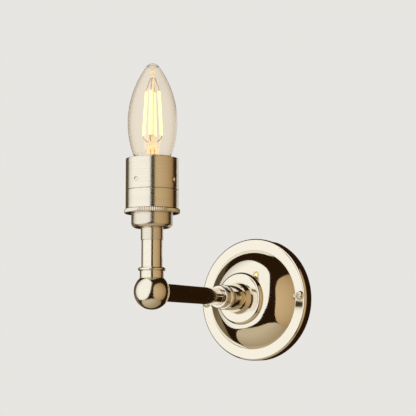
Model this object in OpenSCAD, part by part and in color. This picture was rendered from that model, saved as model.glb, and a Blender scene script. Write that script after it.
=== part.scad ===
// Wall light: a round rose, one straight arm, a ball elbow and an upright lampholder
// with a clear candle lamp. Millimetres. The wall is the plane y = 0, the arm runs
// out along -Y and the lamp stands up along +Z.

/* [Wall rose] */
// Outer diameter of the rose
rose_d = 95; // [90:0.5:110]
// Depth of the rim, from the wall to its flat face
rim_depth = 9.5; // [9:0.5:13]
// Radius of the rounded edge of the rim
rim_edge_r = 2.2; // [1.6:0.1:2.8]
// Width of the flat rim between the dome and the rounded edge
flat_w = 6.8; // [6:0.1:8]
// Rise of the dome from the rim to the step
dome_h = 16.9; // [15.5:0.1:19]
// Radius of the arc that the dome is bowed to
dome_bow_r = 34; // [30:0.5:44]
// Diameter of the raised step
step_d = 40; // [38:0.5:42]
// Rise of the step above the dome
step_h = 3.4; // [3:0.1:4]
// Radius of the rounded edge of the step
step_edge_r = 3; // [2:0.1:3]
// Thickness of the spun sheet
sheet_t = 1.2; // [0.8:0.1:1.4]

/* [Wall fixing] */
// Turn of the rose screws from level
screw_turn = 2.6; // [0:0.2:10]
// Thread diameter of the rose screws
screw_d = 4; // [3:0.5:4.5]
// Head height of the rose screws
screw_head_h = 2.2; // [1.8:0.1:2.6]
// Width of the mounting strap
strap_w = 18; // [16:0.5:20]
// Thickness of the mounting strap
strap_t = 2; // [1.5:0.1:2.5]
// Circle through the two wall holes of the strap
wall_hole_circle_d = 50.8; // [46:0.2:56]
// Diameter of the wall holes
wall_hole_d = 5; // [4:0.2:6]
// Diameter of the cable hole
cable_hole_d = 12; // [10:0.5:14]

/* [Arm] */
// Distance from the wall to the lamp axis
reach = 144; // [120:1:220]
// Outer diameter of the arm tube
arm_d = 12.7; // [12.2:0.1:13.2]
// Outer diameter of the threaded rods
rod_d = 10; // [9.4:0.1:10]
// Bore of the threaded rods
rod_bore_d = 7; // [6.4:0.1:7.4]
// Diameter of the ball elbow
ball_d = 25.4; // [24.4:0.1:28]
// Foot diameter of the boss
boss_d = 24.8; // [23:0.2:28]
// Length of the boss
boss_l = 20.2; // [16:0.2:26]
// Diameter of the bead on the arm ferrule
ferrule_d = 18.8; // [18:0.1:20]
// Length of the arm ferrule
ferrule_l = 9; // [8:0.2:12]

/* [Stem] */
// Diameter of the collar on the ball
collar_d = 16.9; // [16:0.1:18]
// Height of the collar
collar_h = 5.1; // [4:0.1:7]
// Diameter of the bead on the collar
bead_d = 19.7; // [19:0.1:21]
// Height of the bead
bead_h = 2.35; // [2:0.05:3]
// Outer diameter of the stem tube
stem_d = 14.8; // [13:0.1:15.4]
// Visible length of the stem tube
stem_l = 19.45; // [14:0.05:40]

/* [Lampholder] */
// Diameter of the neck
neck_d = 15.8; // [15:0.1:17]
// Length of the neck
neck_l = 8.4; // [6:0.1:12]
// Diameter of the cup
cup_d = 29.4; // [29.2:0.1:31]
// Height of the cup
cup_h = 10.3; // [9.8:0.1:13]
// Radius of the rounded bottom edge of the cup
cup_edge_r = 3.6; // [3:0.1:4]
// How far the knurled ring stands out beyond the sleeves
ring_over = 0.95; // [0.6:0.05:2]
// Height of the knurled ring
ring_h = 3.1; // [2.6:0.1:4]
// Number of teeth on the knurled ring
ring_teeth = 96; // [72:2:108]
// Depth of the teeth
ring_tooth_h = 0.35; // [0.2:0.05:0.4]
// Outer diameter of the sleeves
sleeve_d = 37.6; // [37.4:0.1:38.2]
// Height of the lower sleeve
lower_h = 13.4; // [12.4:0.1:15]
// Height of the upper sleeve
upper_h = 22.4; // [21:0.1:26]
// Thickness of the sleeves
sleeve_t = 0.9; // [0.8:0.05:1]
// Diameter of the pressed dimples
dimple_d = 3.6; // [3:0.1:4]
// Height of the dimples above the seam
dimple_z = 6.4; // [5:0.1:9]
// Turn of the dimples from the room side
dimple_turn = -2; // [-20:1:20]

/* [Lamp] */
// Diameter of the glass
bulb_d = 35.2; // [34:0.2:36]
// Height of the glass above its cap
bulb_h = 67.5; // [60:0.5:75]
// Radius of the glass tip
tip_r = 5.4; // [4.8:0.1:6]
// Thickness of the glass
glass_t = 0.9; // [0.7:0.05:1]
// Diameter of the screw cap
cap_d = 26.4; // [26:0.1:26.6]
// Height of the cap rim above the upper sleeve
cap_show = 1.45; // [1:0.05:2]
// Diameter of the filament sticks
filament_d = 2; // [1.6:0.1:2.4]
// Turn of the filaments from the room side
filament_turn = 20; // [-45:1:45]

/* [Wiring] */
// Outer diameter of the wires
wire_d = 2.2; // [1.8:0.1:2.4]
// Distance between the ways of the connector
way_pitch = 10; // [9.4:0.1:10.6]

/* [Fits] */
// Play between the lamp cap and its shell
lamp_gap = 0.3; // [0.25:0.05:0.4]
// Play on the threads and push fits
fit_gap = 0.05; // [0.03:0.01:0.06]

/* [Hidden] */
$fn = 96;
eps = 0.01;
// Colours
nickel = [0.80, 0.77, 0.71];
zinc = [0.62, 0.63, 0.65];
brass = [0.80, 0.66, 0.36];
ceramic = [0.93, 0.91, 0.86];
glass = [0.92, 0.93, 0.93, 0.35];
stem_glass = [0.92, 0.93, 0.93, 0.5];
black_glass = [0.08, 0.08, 0.09];
tin = [0.72, 0.72, 0.70];
phosphor = [1.0, 0.86, 0.45];
drawn_wire = [0.70, 0.68, 0.62];
board_green = [0.10, 0.35, 0.18];
copper = [0.72, 0.45, 0.20];
white_plastic = [0.90, 0.90, 0.88];
brown = [0.36, 0.20, 0.10];
blue = [0.15, 0.30, 0.65];
green = [0.25, 0.55, 0.20];
// Rose: distances out from the wall
a_step = rim_depth + dome_h;
a_top = a_step + step_h;
a_boss = a_top + boss_l;
a_ferrule = a_boss + ferrule_l;
dome_d = rose_d - 2 * rim_edge_r - 2 * flat_w;
// Dome: one arc about (dome_c_r, dome_c_a), from the rim up to the foot of the step
dome_run = (dome_d - step_d) / 2;
dome_chord = norm([dome_run, dome_h]);
dome_sag = sqrt(pow(dome_bow_r, 2) - pow(dome_chord / 2, 2));
dome_c_r = (dome_d + step_d) / 4 - dome_sag * dome_h / dome_chord;
dome_c_a = rim_depth + dome_h / 2 - dome_sag * dome_run / dome_chord;
// Rose screws stand on the flat rim, clear of the dome
head_gap = 0.5;
screw_head_d = flat_w + 0.3;
screw_circle_d = dome_d + screw_head_d + 2 * head_gap;
strap_gap = 1.2;
strap_half_l = rose_d / 2 - sheet_t - strap_gap;
// Clamp stack inside the rose
washer_t = 1.2;
washer_r = 1.2 * rod_d;
tag_t = 0.8;
nut_t = 5;
nut_af = 1.4 * rod_d;
a_washer = a_top - sheet_t - washer_t;
a_tag = a_washer - tag_t;
a_nut = a_tag - nut_t;
a_rod = a_nut - 2;
rod_hole_r = rod_d / 2 + fit_gap;
free_hole_r = rod_hole_r + 0.15;
tag_r = 0.86 * rod_d;
tag_tail_y = -tag_r - 1.5;
tube_in_r = rod_d / 2 + 0.2;
ferrule_seat = 6;
// Ball and stem: heights above the arm
ball_r = ball_d / 2;
ball_hollow_r = 0.51 * ball_r;
arm_flat = sqrt(ball_r * ball_r - pow(arm_d / 2 + 0.2, 2));
z_collar = sqrt(ball_r * ball_r - pow(collar_d / 2 + 0.1, 2));
z_bead = z_collar + collar_h;
z_stem = z_bead + bead_h;
z_neck = z_stem + stem_l;
z_cup = z_neck + neck_l;
z_ring = z_cup + cup_h;
z_lower = z_ring + ring_h;
z_seam = z_lower + lower_h;
z_top = z_seam + upper_h;
// Lampholder inside
cup_t = 1.2;
cup_floor = 1.5;
z_cup_floor = z_cup + cup_floor;
spigot_r = cup_d / 2 - 0.65;
ledge_t = 2;
z_body = z_lower + ledge_t;
z_spigot = z_body - 0.1;
floor_t = 5.9;
z_floor = z_body + floor_t;
z_body_top = z_top - 2.4;
sleeve_r = sleeve_d / 2;
ring_r = sleeve_r + ring_over;
sleeve_in_r = sleeve_r - sleeve_t;
plug_r = sleeve_in_r - fit_gap;
plug_h = 5;
plug_t = 0.75;
plug_step = 2;
seam_lip = 0.3;
dimple_depth = 0.9;
dimple_ball_r = (pow(dimple_d / 2, 2) + dimple_depth * dimple_depth) / (2 * dimple_depth);
dimple_out = sleeve_r - dimple_depth + dimple_ball_r;
bump_r = dimple_ball_r + 0.8;
body_r = min(dimple_out - bump_r, sleeve_in_r - 0.8) - fit_gap;
shell_t = 0.6;
shell_in_r = cap_d / 2 + lamp_gap;
shell_r = shell_in_r + shell_t;
shell_flange_t = 0.6;
post_r = 3.2;
post_gap = 0.65;
post_x = spigot_r - cup_t - post_r - post_gap;
post_drop = 5.9;
post_clamp_r = 1;
z_post = z_body - post_drop;
z_post_clamp = z_post + 2;
pin_r = 1.5;
spring_t = 0.5;
spring_rise = 0.8;
z_spring = z_floor + spring_rise + spring_t;
// Lamp
z_contact = z_spring + fit_gap;
contact_r = 4.6;
contact_h = 1.25;
z_cone = z_contact + contact_h;
cone_h = 3.4;
z_cap = z_cone + cone_h;
z_cap_top = z_top + cap_show;
cap_t = 0.4;
cap_plug = 2.5;
cap_in_r = cap_d / 2 - cap_t;
z_tip = z_cap_top + bulb_h;
z_glass = z_cap_top - 9;
glass_neck_r = cap_in_r - 0.3;
z_wide = z_cap_top + 0.365 * bulb_h;
tip_u = z_tip - tip_r - z_wide;
// Candle curve: one arc about (-arc_in, z_wide) that meets the tip ball tangentially
arc_k = bulb_d / 2 - tip_r;
arc_in = (tip_u * tip_u - arc_k * arc_k) / (2 * arc_k);
arc_r = arc_in + bulb_d / 2;
tip_slope = tip_u / (arc_r - tip_r);
z_shoulder = z_cap_top + 1.8;
shoulder_r = sqrt(arc_r * arc_r - pow(z_wide - z_shoulder, 2)) - arc_in;
fil_low_r = 6.6;
fil_high_r = 4.6;
filament_l = 0.474 * bulb_h;
z_fil = z_cap_top + 0.225 * bulb_h;
z_pinch = z_fil - 4;
z_bead_top = z_tip - glass_t - 3.6;
mount_bead_r = 2;
support_d = 0.6;
weld_d = 0.8;
mount_rod_r = 1.1;
// Connector
block_w = 3 * way_pitch;
block_l = 14;
block_h = 11;
block_gap = 0.4;
block_room = dome_c_r + sqrt(pow(dome_bow_r - sheet_t, 2) - pow(strap_t + block_h - dome_c_a, 2));
block_z = block_l / 2 + block_gap - sqrt(pow(block_room, 2) - pow(block_w / 2, 2));
way_a = strap_t + 5;
sleeve_out_r = 2.1;
sleeve_bore_r = wire_d / 2 + 0.35;
clamp_d = 2.6;
clamp_y = 3.5;
fixing_r = 1.2;
tab_w = 2.2 * way_pitch;
tab_end = block_z - block_l / 2 - 2;
wire_x = wire_d / 2 + 0.35;

// Places children that are drawn with z as the distance out from the wall.
module from_wall() {
  rotate([90, 0, 0]) children();
}

// Places children that are drawn about the lamp axis.
module on_lamp() {
  translate([0, -reach, 0]) children();
}

// Tube between two heights.
module tube(r_out, r_in, z0, z1) {
  translate([0, 0, z0]) {
    difference() {
      cylinder(r = r_out, h = z1 - z0);
      translate([0, 0, -1]) cylinder(r = r_in, h = z1 - z0 + 2);
    }
  }
}

// Solid bar of round section between two points.
module bar(p, q, d) {
  v = q - p;
  l = norm(v);
  translate(p) {
    rotate([0, acos(v[2] / l), atan2(v[1], v[0])]) cylinder(d = d, h = l, $fn = 24);
  }
}

// Half section with a rounded outer corner at the top, from the axis outwards.
module rounded_block(r, h, edge) {
  translate([0, -1]) square([r - edge, h + 1]);
  translate([0, -1]) square([r, h - edge + 1]);
  translate([r - edge, h - edge]) circle(r = edge);
}

// Half section of the rose, drawn in by t all round.
module rose_section(t) {
  rounded_block(rose_d / 2 - t, rim_depth - t, rim_edge_r - t * 0.9);
  intersection() {
    translate([dome_c_r, dome_c_a]) circle(r = dome_bow_r - t);
    translate([0, rim_depth - t - eps]) square([dome_d / 2, dome_h + step_h]);
  }
  rounded_block(step_d / 2 - t, a_top - t, step_edge_r - t * 0.9);
}

// Repeats children at the rose screws.
module at_rose_screws() {
  for (k = [0, 1]) {
    rotate([0, 0, screw_turn + 180 * k]) translate([screw_circle_d / 2, 0, 0]) children();
  }
}

// Spun cover: deep rim, bowed dome and step.
module wall_rose() {
  color(nickel) from_wall() {
    difference() {
      rotate_extrude() {
        intersection() {
          difference() {
            rose_section(0);
            rose_section(sheet_t);
          }
          square([rose_d, a_top + 1]);
        }
      }
      translate([0, 0, a_top - 5]) cylinder(r = free_hole_r, h = 10);
      at_rose_screws() translate([0, 0, 3]) cylinder(d = screw_d + 0.4, h = 10, $fn = 48);
    }
  }
}

// Pan-head machine screws with a cross recess.
module rose_screws() {
  crown_r = (pow(screw_head_d / 2, 2) + screw_head_h * screw_head_h) / (2 * screw_head_h);
  color(nickel) from_wall() at_rose_screws() {
    translate([0, 0, 0.4]) cylinder(d = screw_d, h = rim_depth - 0.4 + eps, $fn = 48);
    difference() {
      intersection() {
        translate([0, 0, rim_depth + screw_head_h - crown_r]) sphere(r = crown_r);
        translate([0, 0, rim_depth]) cylinder(d = screw_head_d, h = screw_head_h);
      }
      for (k = [0, 90]) {
        translate([0, 0, rim_depth + screw_head_h]) rotate([0, 0, k + 45]) {
          cube([3.6, 0.8, 2.4], center = true);
        }
      }
    }
  }
}

// Steel bracket: bar with wall holes and a tab for the connector.
module mounting_strap() {
  color(zinc) from_wall() {
    difference() {
      linear_extrude(height = strap_t) {
        rotate(screw_turn) {
          intersection() {
            square([2 * strap_half_l, strap_w], center = true);
            circle(r = strap_half_l);
          }
        }
        translate([-tab_w / 2, tab_end]) square([tab_w, -tab_end]);
      }
      translate([0, 0, -1]) cylinder(d = cable_hole_d, h = strap_t + 2);
      rotate([0, 0, screw_turn]) {
        for (s = [-1, 1]) {
          translate([s * wall_hole_circle_d / 2, 0, -1]) cylinder(d = wall_hole_d, h = strap_t + 2);
        }
      }
      at_rose_screws() {
        translate([0, 0, -1]) cylinder(r = screw_d / 2 + fit_gap, h = strap_t + 2, $fn = 48);
      }
      translate([way_pitch / 2, block_z, -1]) {
        cylinder(r = fixing_r + fit_gap, h = strap_t + 2, $fn = 48);
      }
    }
  }
}

// Turned bush between the rose and the ferrule: a long cone on a flared foot.
module rose_boss() {
  foot_edge = 1.7;
  foot_h = 5.5;
  foot_flare = 1.8;
  color(nickel) from_wall() {
    rotate_extrude() {
      polygon([
        [rod_hole_r, a_top], [boss_d / 2, a_top], [boss_d / 2, a_top + foot_edge],
        [boss_d / 2 - foot_flare, a_top + foot_h], [ferrule_d / 2 - 0.3, a_boss],
        [rod_hole_r, a_boss]
      ]);
    }
  }
}

// Turned ferrule: bead, collar and lip round the end of the arm tube.
module arm_ferrule() {
  bead_l = 2.5;
  lip_l = 2;
  lip_r = ferrule_d / 2 - 0.8;
  color(nickel) from_wall() {
    rotate_extrude() {
      difference() {
        union() {
          translate([0, a_boss]) square([lip_r - 0.5, ferrule_l]);
          translate([0, a_boss]) square([ferrule_d / 2 - bead_l / 2, bead_l]);
          translate([ferrule_d / 2 - bead_l / 2, a_boss + bead_l / 2]) circle(d = bead_l);
          translate([0, a_ferrule - lip_l]) square([lip_r - lip_l / 2, lip_l]);
          translate([lip_r - lip_l / 2, a_ferrule - lip_l / 2]) circle(d = lip_l);
        }
        square([rod_hole_r, a_ferrule + 1]);
        translate([0, a_ferrule - ferrule_seat]) square([arm_d / 2 + fit_gap, ferrule_seat + 1]);
      }
    }
  }
}

// Cover tube of the arm.
module arm_tube() {
  color(nickel) from_wall() {
    tube(arm_d / 2, tube_in_r, a_ferrule - ferrule_seat, reach - arm_flat);
  }
}

// Hollow threaded rod through the arm.
module arm_rod() {
  color(brass) from_wall() {
    tube(rod_d / 2, rod_bore_d / 2, a_rod, reach - ball_hollow_r);
  }
}

// Washer against the inside of the step.
module rod_washer() {
  color(zinc) from_wall() {
    tube(washer_r, free_hole_r, a_washer, a_washer + washer_t);
  }
}

// Hexagon nut on the rod.
module rod_nut() {
  color(brass) from_wall() {
    difference() {
      translate([0, 0, a_nut]) cylinder(d = nut_af / cos(30), h = nut_t, $fn = 6);
      translate([0, 0, a_nut - 1]) cylinder(r = rod_hole_r, h = nut_t + 2);
    }
  }
}

// Ring tag with a tail bent back along the earth wire.
module earth_tag() {
  tail_w = 5;
  tail_l = 8;
  color(brass) from_wall() {
    difference() {
      union() {
        translate([0, 0, a_tag]) cylinder(r = tag_r, h = tag_t);
        translate([-tail_w / 2, tag_tail_y, a_tag]) cube([tail_w, 4, tag_t]);
      }
      translate([0, 0, a_tag - 1]) cylinder(r = free_hole_r, h = tag_t + 2);
    }
    translate([-tail_w / 2, tag_tail_y, a_tag - tail_l]) cube([tail_w, tag_t, tail_l + tag_t]);
  }
}

// Ball with flats and tapped holes for arm and stem.
module ball_elbow() {
  color(nickel) on_lamp() {
    difference() {
      sphere(r = ball_r);
      sphere(r = ball_hollow_r);
      translate([-ball_r, arm_flat, -ball_r]) cube(2 * ball_r);
      translate([-ball_r, -ball_r, z_collar]) cube(2 * ball_r);
      cylinder(r = rod_hole_r, h = ball_r + 1);
      rotate([-90, 0, 0]) cylinder(r = rod_hole_r, h = ball_r + 1);
    }
  }
}

// Turned collar with a bead at the top.
module stem_collar() {
  color(nickel) on_lamp() {
    rotate_extrude() {
      difference() {
        union() {
          translate([0, z_collar]) square([collar_d / 2, collar_h + bead_h]);
          translate([0, z_bead]) square([bead_d / 2 - bead_h / 2, bead_h]);
          translate([bead_d / 2 - bead_h / 2, z_bead + bead_h / 2]) circle(d = bead_h);
        }
        square([rod_hole_r, z_stem + 1]);
      }
    }
  }
}

// Cover tube of the stem.
module stem_tube() {
  color(nickel) on_lamp() tube(stem_d / 2, tube_in_r, z_stem, z_neck);
}

// Hollow threaded rod from the ball to the lampholder.
module stem_rod() {
  color(brass) on_lamp() {
    tube(rod_d / 2, rod_bore_d / 2, ball_hollow_r, z_cup_floor - 0.2);
  }
}

// Lampholder cap: tapped neck, round-bottomed cup and a spigot for ring and sleeve.
module holder_cap() {
  cup_r = cup_d / 2;
  color(nickel) on_lamp() {
    rotate_extrude() {
      difference() {
        union() {
          translate([0, z_neck]) square([neck_d / 2, neck_l + 1]);
          translate([0, z_cup]) square([cup_r - cup_edge_r, cup_h]);
          translate([0, z_cup + cup_edge_r]) square([cup_r, cup_h - cup_edge_r]);
          translate([cup_r - cup_edge_r, z_cup + cup_edge_r]) circle(r = cup_edge_r);
          translate([0, z_ring - 1]) square([spigot_r, z_spigot - z_ring + 1]);
        }
        square([rod_hole_r, z_spigot + 1]);
        translate([0, z_cup + cup_edge_r]) square([spigot_r - cup_t, z_spigot]);
        translate([0, z_cup_floor]) square([cup_r - cup_edge_r - 1, cup_h]);
      }
    }
  }
}

// Lock ring with a coin edge.
module knurled_ring() {
  r = ring_r;
  n = 2 * ring_teeth;
  edge = 0.9;
  color(nickel) on_lamp() {
    difference() {
      intersection() {
        translate([0, 0, z_ring]) {
          linear_extrude(height = ring_h) {
            polygon([for (i = [0:n - 1]) let (q = r - (i % 2) * ring_tooth_h, t = i * 360 / n)
              [q * cos(t), q * sin(t)]]);
          }
        }
        rotate_extrude() {
          translate([0, z_ring]) square([r - edge, ring_h]);
          translate([0, z_ring + edge]) square([r, ring_h - 2 * edge]);
          for (z = [z_ring + edge, z_lower - edge]) {
            translate([r - edge, z]) circle(r = edge);
          }
        }
      }
      translate([0, 0, z_ring - 1]) cylinder(r = spigot_r + fit_gap, h = ring_h + 2);
    }
  }
}

// Lower half of the lampholder body, with the ledge that carries the ceramic.
module lower_sleeve() {
  color(nickel) on_lamp() {
    rotate_extrude() {
      polygon([
        [spigot_r + fit_gap, z_lower], [sleeve_r, z_lower], [sleeve_r, z_seam - seam_lip],
        [sleeve_r - seam_lip, z_seam], [sleeve_in_r, z_seam], [sleeve_in_r, z_body],
        [spigot_r + fit_gap, z_body]
      ]);
    }
  }
}

// Repeats children at the dimples.
module at_dimples() {
  for (k = [0:3]) {
    rotate([0, 0, dimple_turn - 90 + 90 * k]) {
      translate([dimple_out, 0, z_seam + dimple_z]) children();
    }
  }
}

// Skirt with a plug for the lower sleeve and four pressed dimples.
module upper_sleeve() {
  color(nickel) on_lamp() {
    difference() {
      union() {
        rotate_extrude() {
          polygon([
            [plug_r - plug_t, z_seam - plug_h], [plug_r, z_seam - plug_h], [plug_r, z_seam],
            [sleeve_r - seam_lip, z_seam], [sleeve_r, z_seam + seam_lip], [sleeve_r, z_top - seam_lip],
            [sleeve_r - seam_lip, z_top], [sleeve_in_r, z_top], [sleeve_in_r, z_seam + plug_step],
            [plug_r - plug_t, z_seam + plug_step]
          ]);
        }
        intersection() {
          at_dimples() sphere(r = bump_r);
          cylinder(r = sleeve_r - sleeve_t / 2, h = z_top);
        }
      }
      at_dimples() sphere(r = dimple_ball_r);
    }
  }
}

// Ceramic body with a floor for the contacts.
module holder_insulator() {
  color(ceramic) on_lamp() {
    difference() {
      translate([0, 0, z_body]) cylinder(r = body_r, h = z_body_top - z_body);
      translate([0, 0, z_floor]) cylinder(r = shell_r + fit_gap, h = z_body_top);
      for (s = [-1, 1]) {
        translate([s * post_x, 0, z_body - 1]) cylinder(r = pin_r + fit_gap, h = floor_t + 2, $fn = 48);
      }
    }
  }
}

// Screw shell, cut away under the live contact.
module screw_shell() {
  color(brass) on_lamp() {
    tube(shell_r, shell_in_r, z_floor, z_body_top - 3);
    difference() {
      tube(shell_r - eps, 7.2, z_floor, z_floor + shell_flange_t);
      translate([-shell_r - 1, -6, z_floor - 1]) cube([shell_r + 4, 12, 2]);
    }
  }
}

// Spring strip under the lamp's centre contact.
module spring_contact() {
  x0 = -(shell_in_r - 1.5);
  x1 = -(post_x - 2.6);
  x2 = -3;
  x3 = 3;
  color(brass) on_lamp() {
    translate([0, 3, z_floor]) rotate([90, 0, 0]) {
      linear_extrude(height = 6) {
        polygon([
          [x0, 0], [x1, 0], [x2, spring_rise], [x3, spring_rise],
          [x3, spring_rise + spring_t], [x2 - 0.1, spring_rise + spring_t],
          [x1 - 0.1, spring_t], [x0, spring_t]
        ]);
      }
    }
  }
}

// Terminal posts with a pin through the ceramic and a hole for the wire.
module holder_terminals() {
  color(brass) on_lamp() {
    for (s = [-1, 1]) {
      translate([s * post_x, 0, 0]) {
        difference() {
          translate([0, 0, z_post]) cylinder(r = post_r, h = post_drop, $fn = 48);
          translate([0, 0, z_post - 1]) {
            cylinder(r = wire_d / 2 + 0.2, h = 5, $fn = 48);
          }
          translate([0, 0, z_post_clamp]) rotate([90, 0, 0]) {
            cylinder(r = post_clamp_r + fit_gap, h = post_r + 1, $fn = 48);
          }
        }
        translate([0, 0, z_body - eps]) cylinder(r = pin_r, h = floor_t + eps, $fn = 48);
      }
    }
  }
}

// Slotted screws that clamp the wires in the posts.
module terminal_clamp_screws() {
  screw_l = post_r - wire_d / 2 + 0.7;
  color(zinc) on_lamp() {
    for (s = [-1, 1]) {
      translate([s * post_x, -wire_d / 2 - 0.1, z_post_clamp]) rotate([90, 0, 0]) {
        difference() {
          cylinder(r = post_clamp_r, h = screw_l, $fn = 48);
          translate([0, 0, screw_l]) cube([3, 0.4, 0.8], center = true);
        }
      }
    }
  }
}

// Half section of the candle glass, drawn in by t.
module candle_section(t) {
  intersection() {
    translate([-arc_in, z_wide]) circle(r = arc_r - t);
    translate([0, z_shoulder]) square([bulb_d, tip_u + z_wide + tip_slope * (tip_r - t) - z_shoulder]);
  }
  intersection() {
    translate([0, z_tip - tip_r]) circle(r = tip_r - t);
    translate([0, z_tip - tip_r]) square([tip_r, tip_r]);
  }
  polygon([
    [0, z_glass - t], [glass_neck_r - t, z_glass - t], [glass_neck_r - t, z_cap_top + 0.2],
    [shoulder_r - t, z_shoulder + eps], [0, z_shoulder + eps]
  ]);
}

// Hollow candle-shaped envelope, open at the neck.
module bulb_glass() {
  color(glass) on_lamp() {
    rotate_extrude() {
      difference() {
        candle_section(0);
        candle_section(glass_t);
      }
    }
  }
}

// Screw cap of the lamp with a rolled rim.
module bulb_cap() {
  r = cap_d / 2;
  color(nickel) on_lamp() {
    rotate_extrude() {
      difference() {
        union() {
          translate([0, z_cap]) square([r, z_cap_top - z_cap - 0.4]);
          translate([0, z_cap_top - 0.8]) square([r - 0.2, 0.8]);
          translate([r - 0.2, z_cap_top - 0.4]) circle(r = 0.4);
        }
        square([cap_in_r, z_cap_top + 1]);
      }
    }
  }
}

// Black glass cone that closes the cap.
module cap_insulator() {
  color(black_glass) on_lamp() {
    rotate_extrude() {
      polygon([
        [0, z_cone], [contact_r + 1.2, z_cone], [cap_d / 2 - 1, z_cap],
        [cap_in_r - fit_gap, z_cap], [cap_in_r - fit_gap, z_cap + cap_plug], [0, z_cap + cap_plug]
      ]);
    }
  }
}

// Centre contact of the lamp.
module cap_contact() {
  color(tin) on_lamp() {
    rotate_extrude() {
      polygon([
        [0, z_contact], [contact_r - 1.2, z_contact], [contact_r - 0.4, z_contact + 0.4],
        [contact_r, z_contact + 0.9], [contact_r, z_cone], [0, z_cone]
      ]);
    }
  }
}

// Flared glass stem with the rod that carries the filaments.
module glass_mount() {
  flare_r = glass_neck_r - glass_t;
  color(stem_glass) on_lamp() {
    rotate_extrude() {
      difference() {
        union() {
          polygon([
            [0, z_glass], [flare_r - fit_gap, z_glass], [flare_r - fit_gap, z_glass + 1],
            [7, z_glass + 4], [5, z_glass + 7.5], [4.2, z_glass + 12], [3.9, z_pinch - 2],
            [3.4, z_pinch], [2.4, z_pinch + 3], [mount_rod_r, z_pinch + 5],
            [mount_rod_r, z_bead_top - mount_bead_r], [0, z_bead_top - mount_bead_r]
          ]);
          intersection() {
            translate([0, z_bead_top - mount_bead_r]) circle(r = mount_bead_r);
            translate([0, z_bead_top - 4]) square([mount_bead_r, 4]);
          }
        }
        polygon([
          [0, z_glass - 1], [flare_r - 1.2, z_glass - 1], [flare_r - 1.2, z_glass + 0.6],
          [5.8, z_glass + 4], [3.8, z_glass + 7.5], [3, z_glass + 12], [2.6, z_pinch - 4],
          [0, z_pinch - 3]
        ]);
      }
    }
  }
}

// End points of a filament stick.
function fil_dir(k) = filament_turn + 90 * k;
function fil_low(k) = [fil_low_r * cos(fil_dir(k)), fil_low_r * sin(fil_dir(k)), z_fil];
function fil_high(k) = [
  fil_high_r * cos(fil_dir(k)), fil_high_r * sin(fil_dir(k)), z_fil + filament_l
];
function fil_axis(k) = (fil_high(k) - fil_low(k)) / norm(fil_high(k) - fil_low(k));

// Four straight filament sticks.
module led_filaments() {
  color(phosphor) on_lamp() {
    for (k = [0:3]) {
      bar(fil_low(k), fil_high(k), filament_d);
    }
  }
}

// Support wires: straight off each end of a stick, then in to the glass rod.
module filament_supports() {
  color(drawn_wire) on_lamp() {
    for (k = [0:3]) {
      c = cos(fil_dir(k));
      s = sin(fil_dir(k));
      top = fil_high(k) + 2 * fil_axis(k);
      low = fil_low(k) - 1.6 * fil_axis(k);
      in_top = mount_rod_r + support_d / 2 + 0.02;
      z_top_in = z_bead_top - 5.8;
      bar(fil_high(k), top, support_d);
      translate(top) sphere(d = weld_d, $fn = 24);
      bar(top, [in_top * c, in_top * s, z_top_in], support_d);
      bar(low, fil_low(k), support_d);
      translate(low) sphere(d = weld_d, $fn = 24);
      bar([3.8 * c, 3.8 * s, z_pinch - 0.3], low, support_d);
    }
  }
}

// Driver in the cap: a board that stands up, with a capacitor and a coil.
module driver_board() {
  z0 = z_cap + cap_plug;
  board_w = 2 * (cap_in_r - 3.8);
  h = z_glass - z0 - 0.6;
  color(board_green) on_lamp() {
    translate([-board_w / 2, -0.6, z0]) cube([board_w, 1.2, h]);
    translate([-4.4, -4.2, z0 + 0.4]) cylinder(d = 6.4, h = h - 1, $fn = 48);
    translate([-7.6, -1.4, z0 + 1]) cube([6.4, 1, h - 3]);
    translate([0.8, 0.6 - eps, z0 + 1.4]) cube([6, 4, h - 3.4]);
  }
}

// Leads from the driver board up into the seal of the glass mount.
module lead_wires() {
  z0 = z_glass - 0.6;
  color(copper) on_lamp() {
    for (s = [-1, 1]) {
      bar([s * 2, 0, z0], [s * 1.6, 0, z_pinch - 5.5], 0.7);
    }
  }
}

// Three-way connector with a bore for each way.
module terminal_block() {
  color(white_plastic) from_wall() {
    translate([0, block_z, 0]) {
      difference() {
        translate([-block_w / 2, -block_l / 2, strap_t]) cube([block_w, block_l, block_h]);
        for (k = [-1:1]) {
          translate([k * way_pitch, 0, way_a]) rotate([90, 0, 0]) {
            cylinder(r = sleeve_out_r + fit_gap, h = block_l + 2, center = true, $fn = 48);
          }
          for (s = [-1, 1]) {
            translate([k * way_pitch, s * clamp_y, way_a]) {
              cylinder(d = clamp_d + 0.4, h = block_h, $fn = 48);
            }
          }
        }
        translate([way_pitch / 2, 0, 0]) cylinder(r = fixing_r + fit_gap, h = 30, $fn = 48);
      }
    }
  }
}

// Brass barrels that join the wires of each way.
module block_sleeves() {
  color(brass) from_wall() {
    for (k = [-1:1]) {
      translate([k * way_pitch, block_z, way_a]) {
        difference() {
          rotate([90, 0, 0]) cylinder(r = sleeve_out_r, h = block_l - 2, center = true, $fn = 48);
          rotate([90, 0, 0]) cylinder(r = sleeve_bore_r, h = block_l, center = true, $fn = 48);
          for (s = [-1, 1]) {
            translate([0, s * clamp_y, 0]) cylinder(r = clamp_d / 2 + fit_gap, h = 5, $fn = 48);
          }
        }
      }
    }
  }
}

// Slotted clamp screws, two to a way.
module block_screws() {
  foot = wire_d / 2 + 0.05;
  screw_l = 0.4 * block_h;
  color(zinc) from_wall() {
    for (k = [-1:1]) {
      for (s = [-1, 1]) {
        translate([k * way_pitch, block_z + s * clamp_y, way_a + foot]) {
          difference() {
            cylinder(d = clamp_d, h = screw_l, $fn = 48);
            translate([0, 0, screw_l]) cube([4, 0.5, 1], center = true);
          }
        }
      }
    }
  }
}

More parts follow.
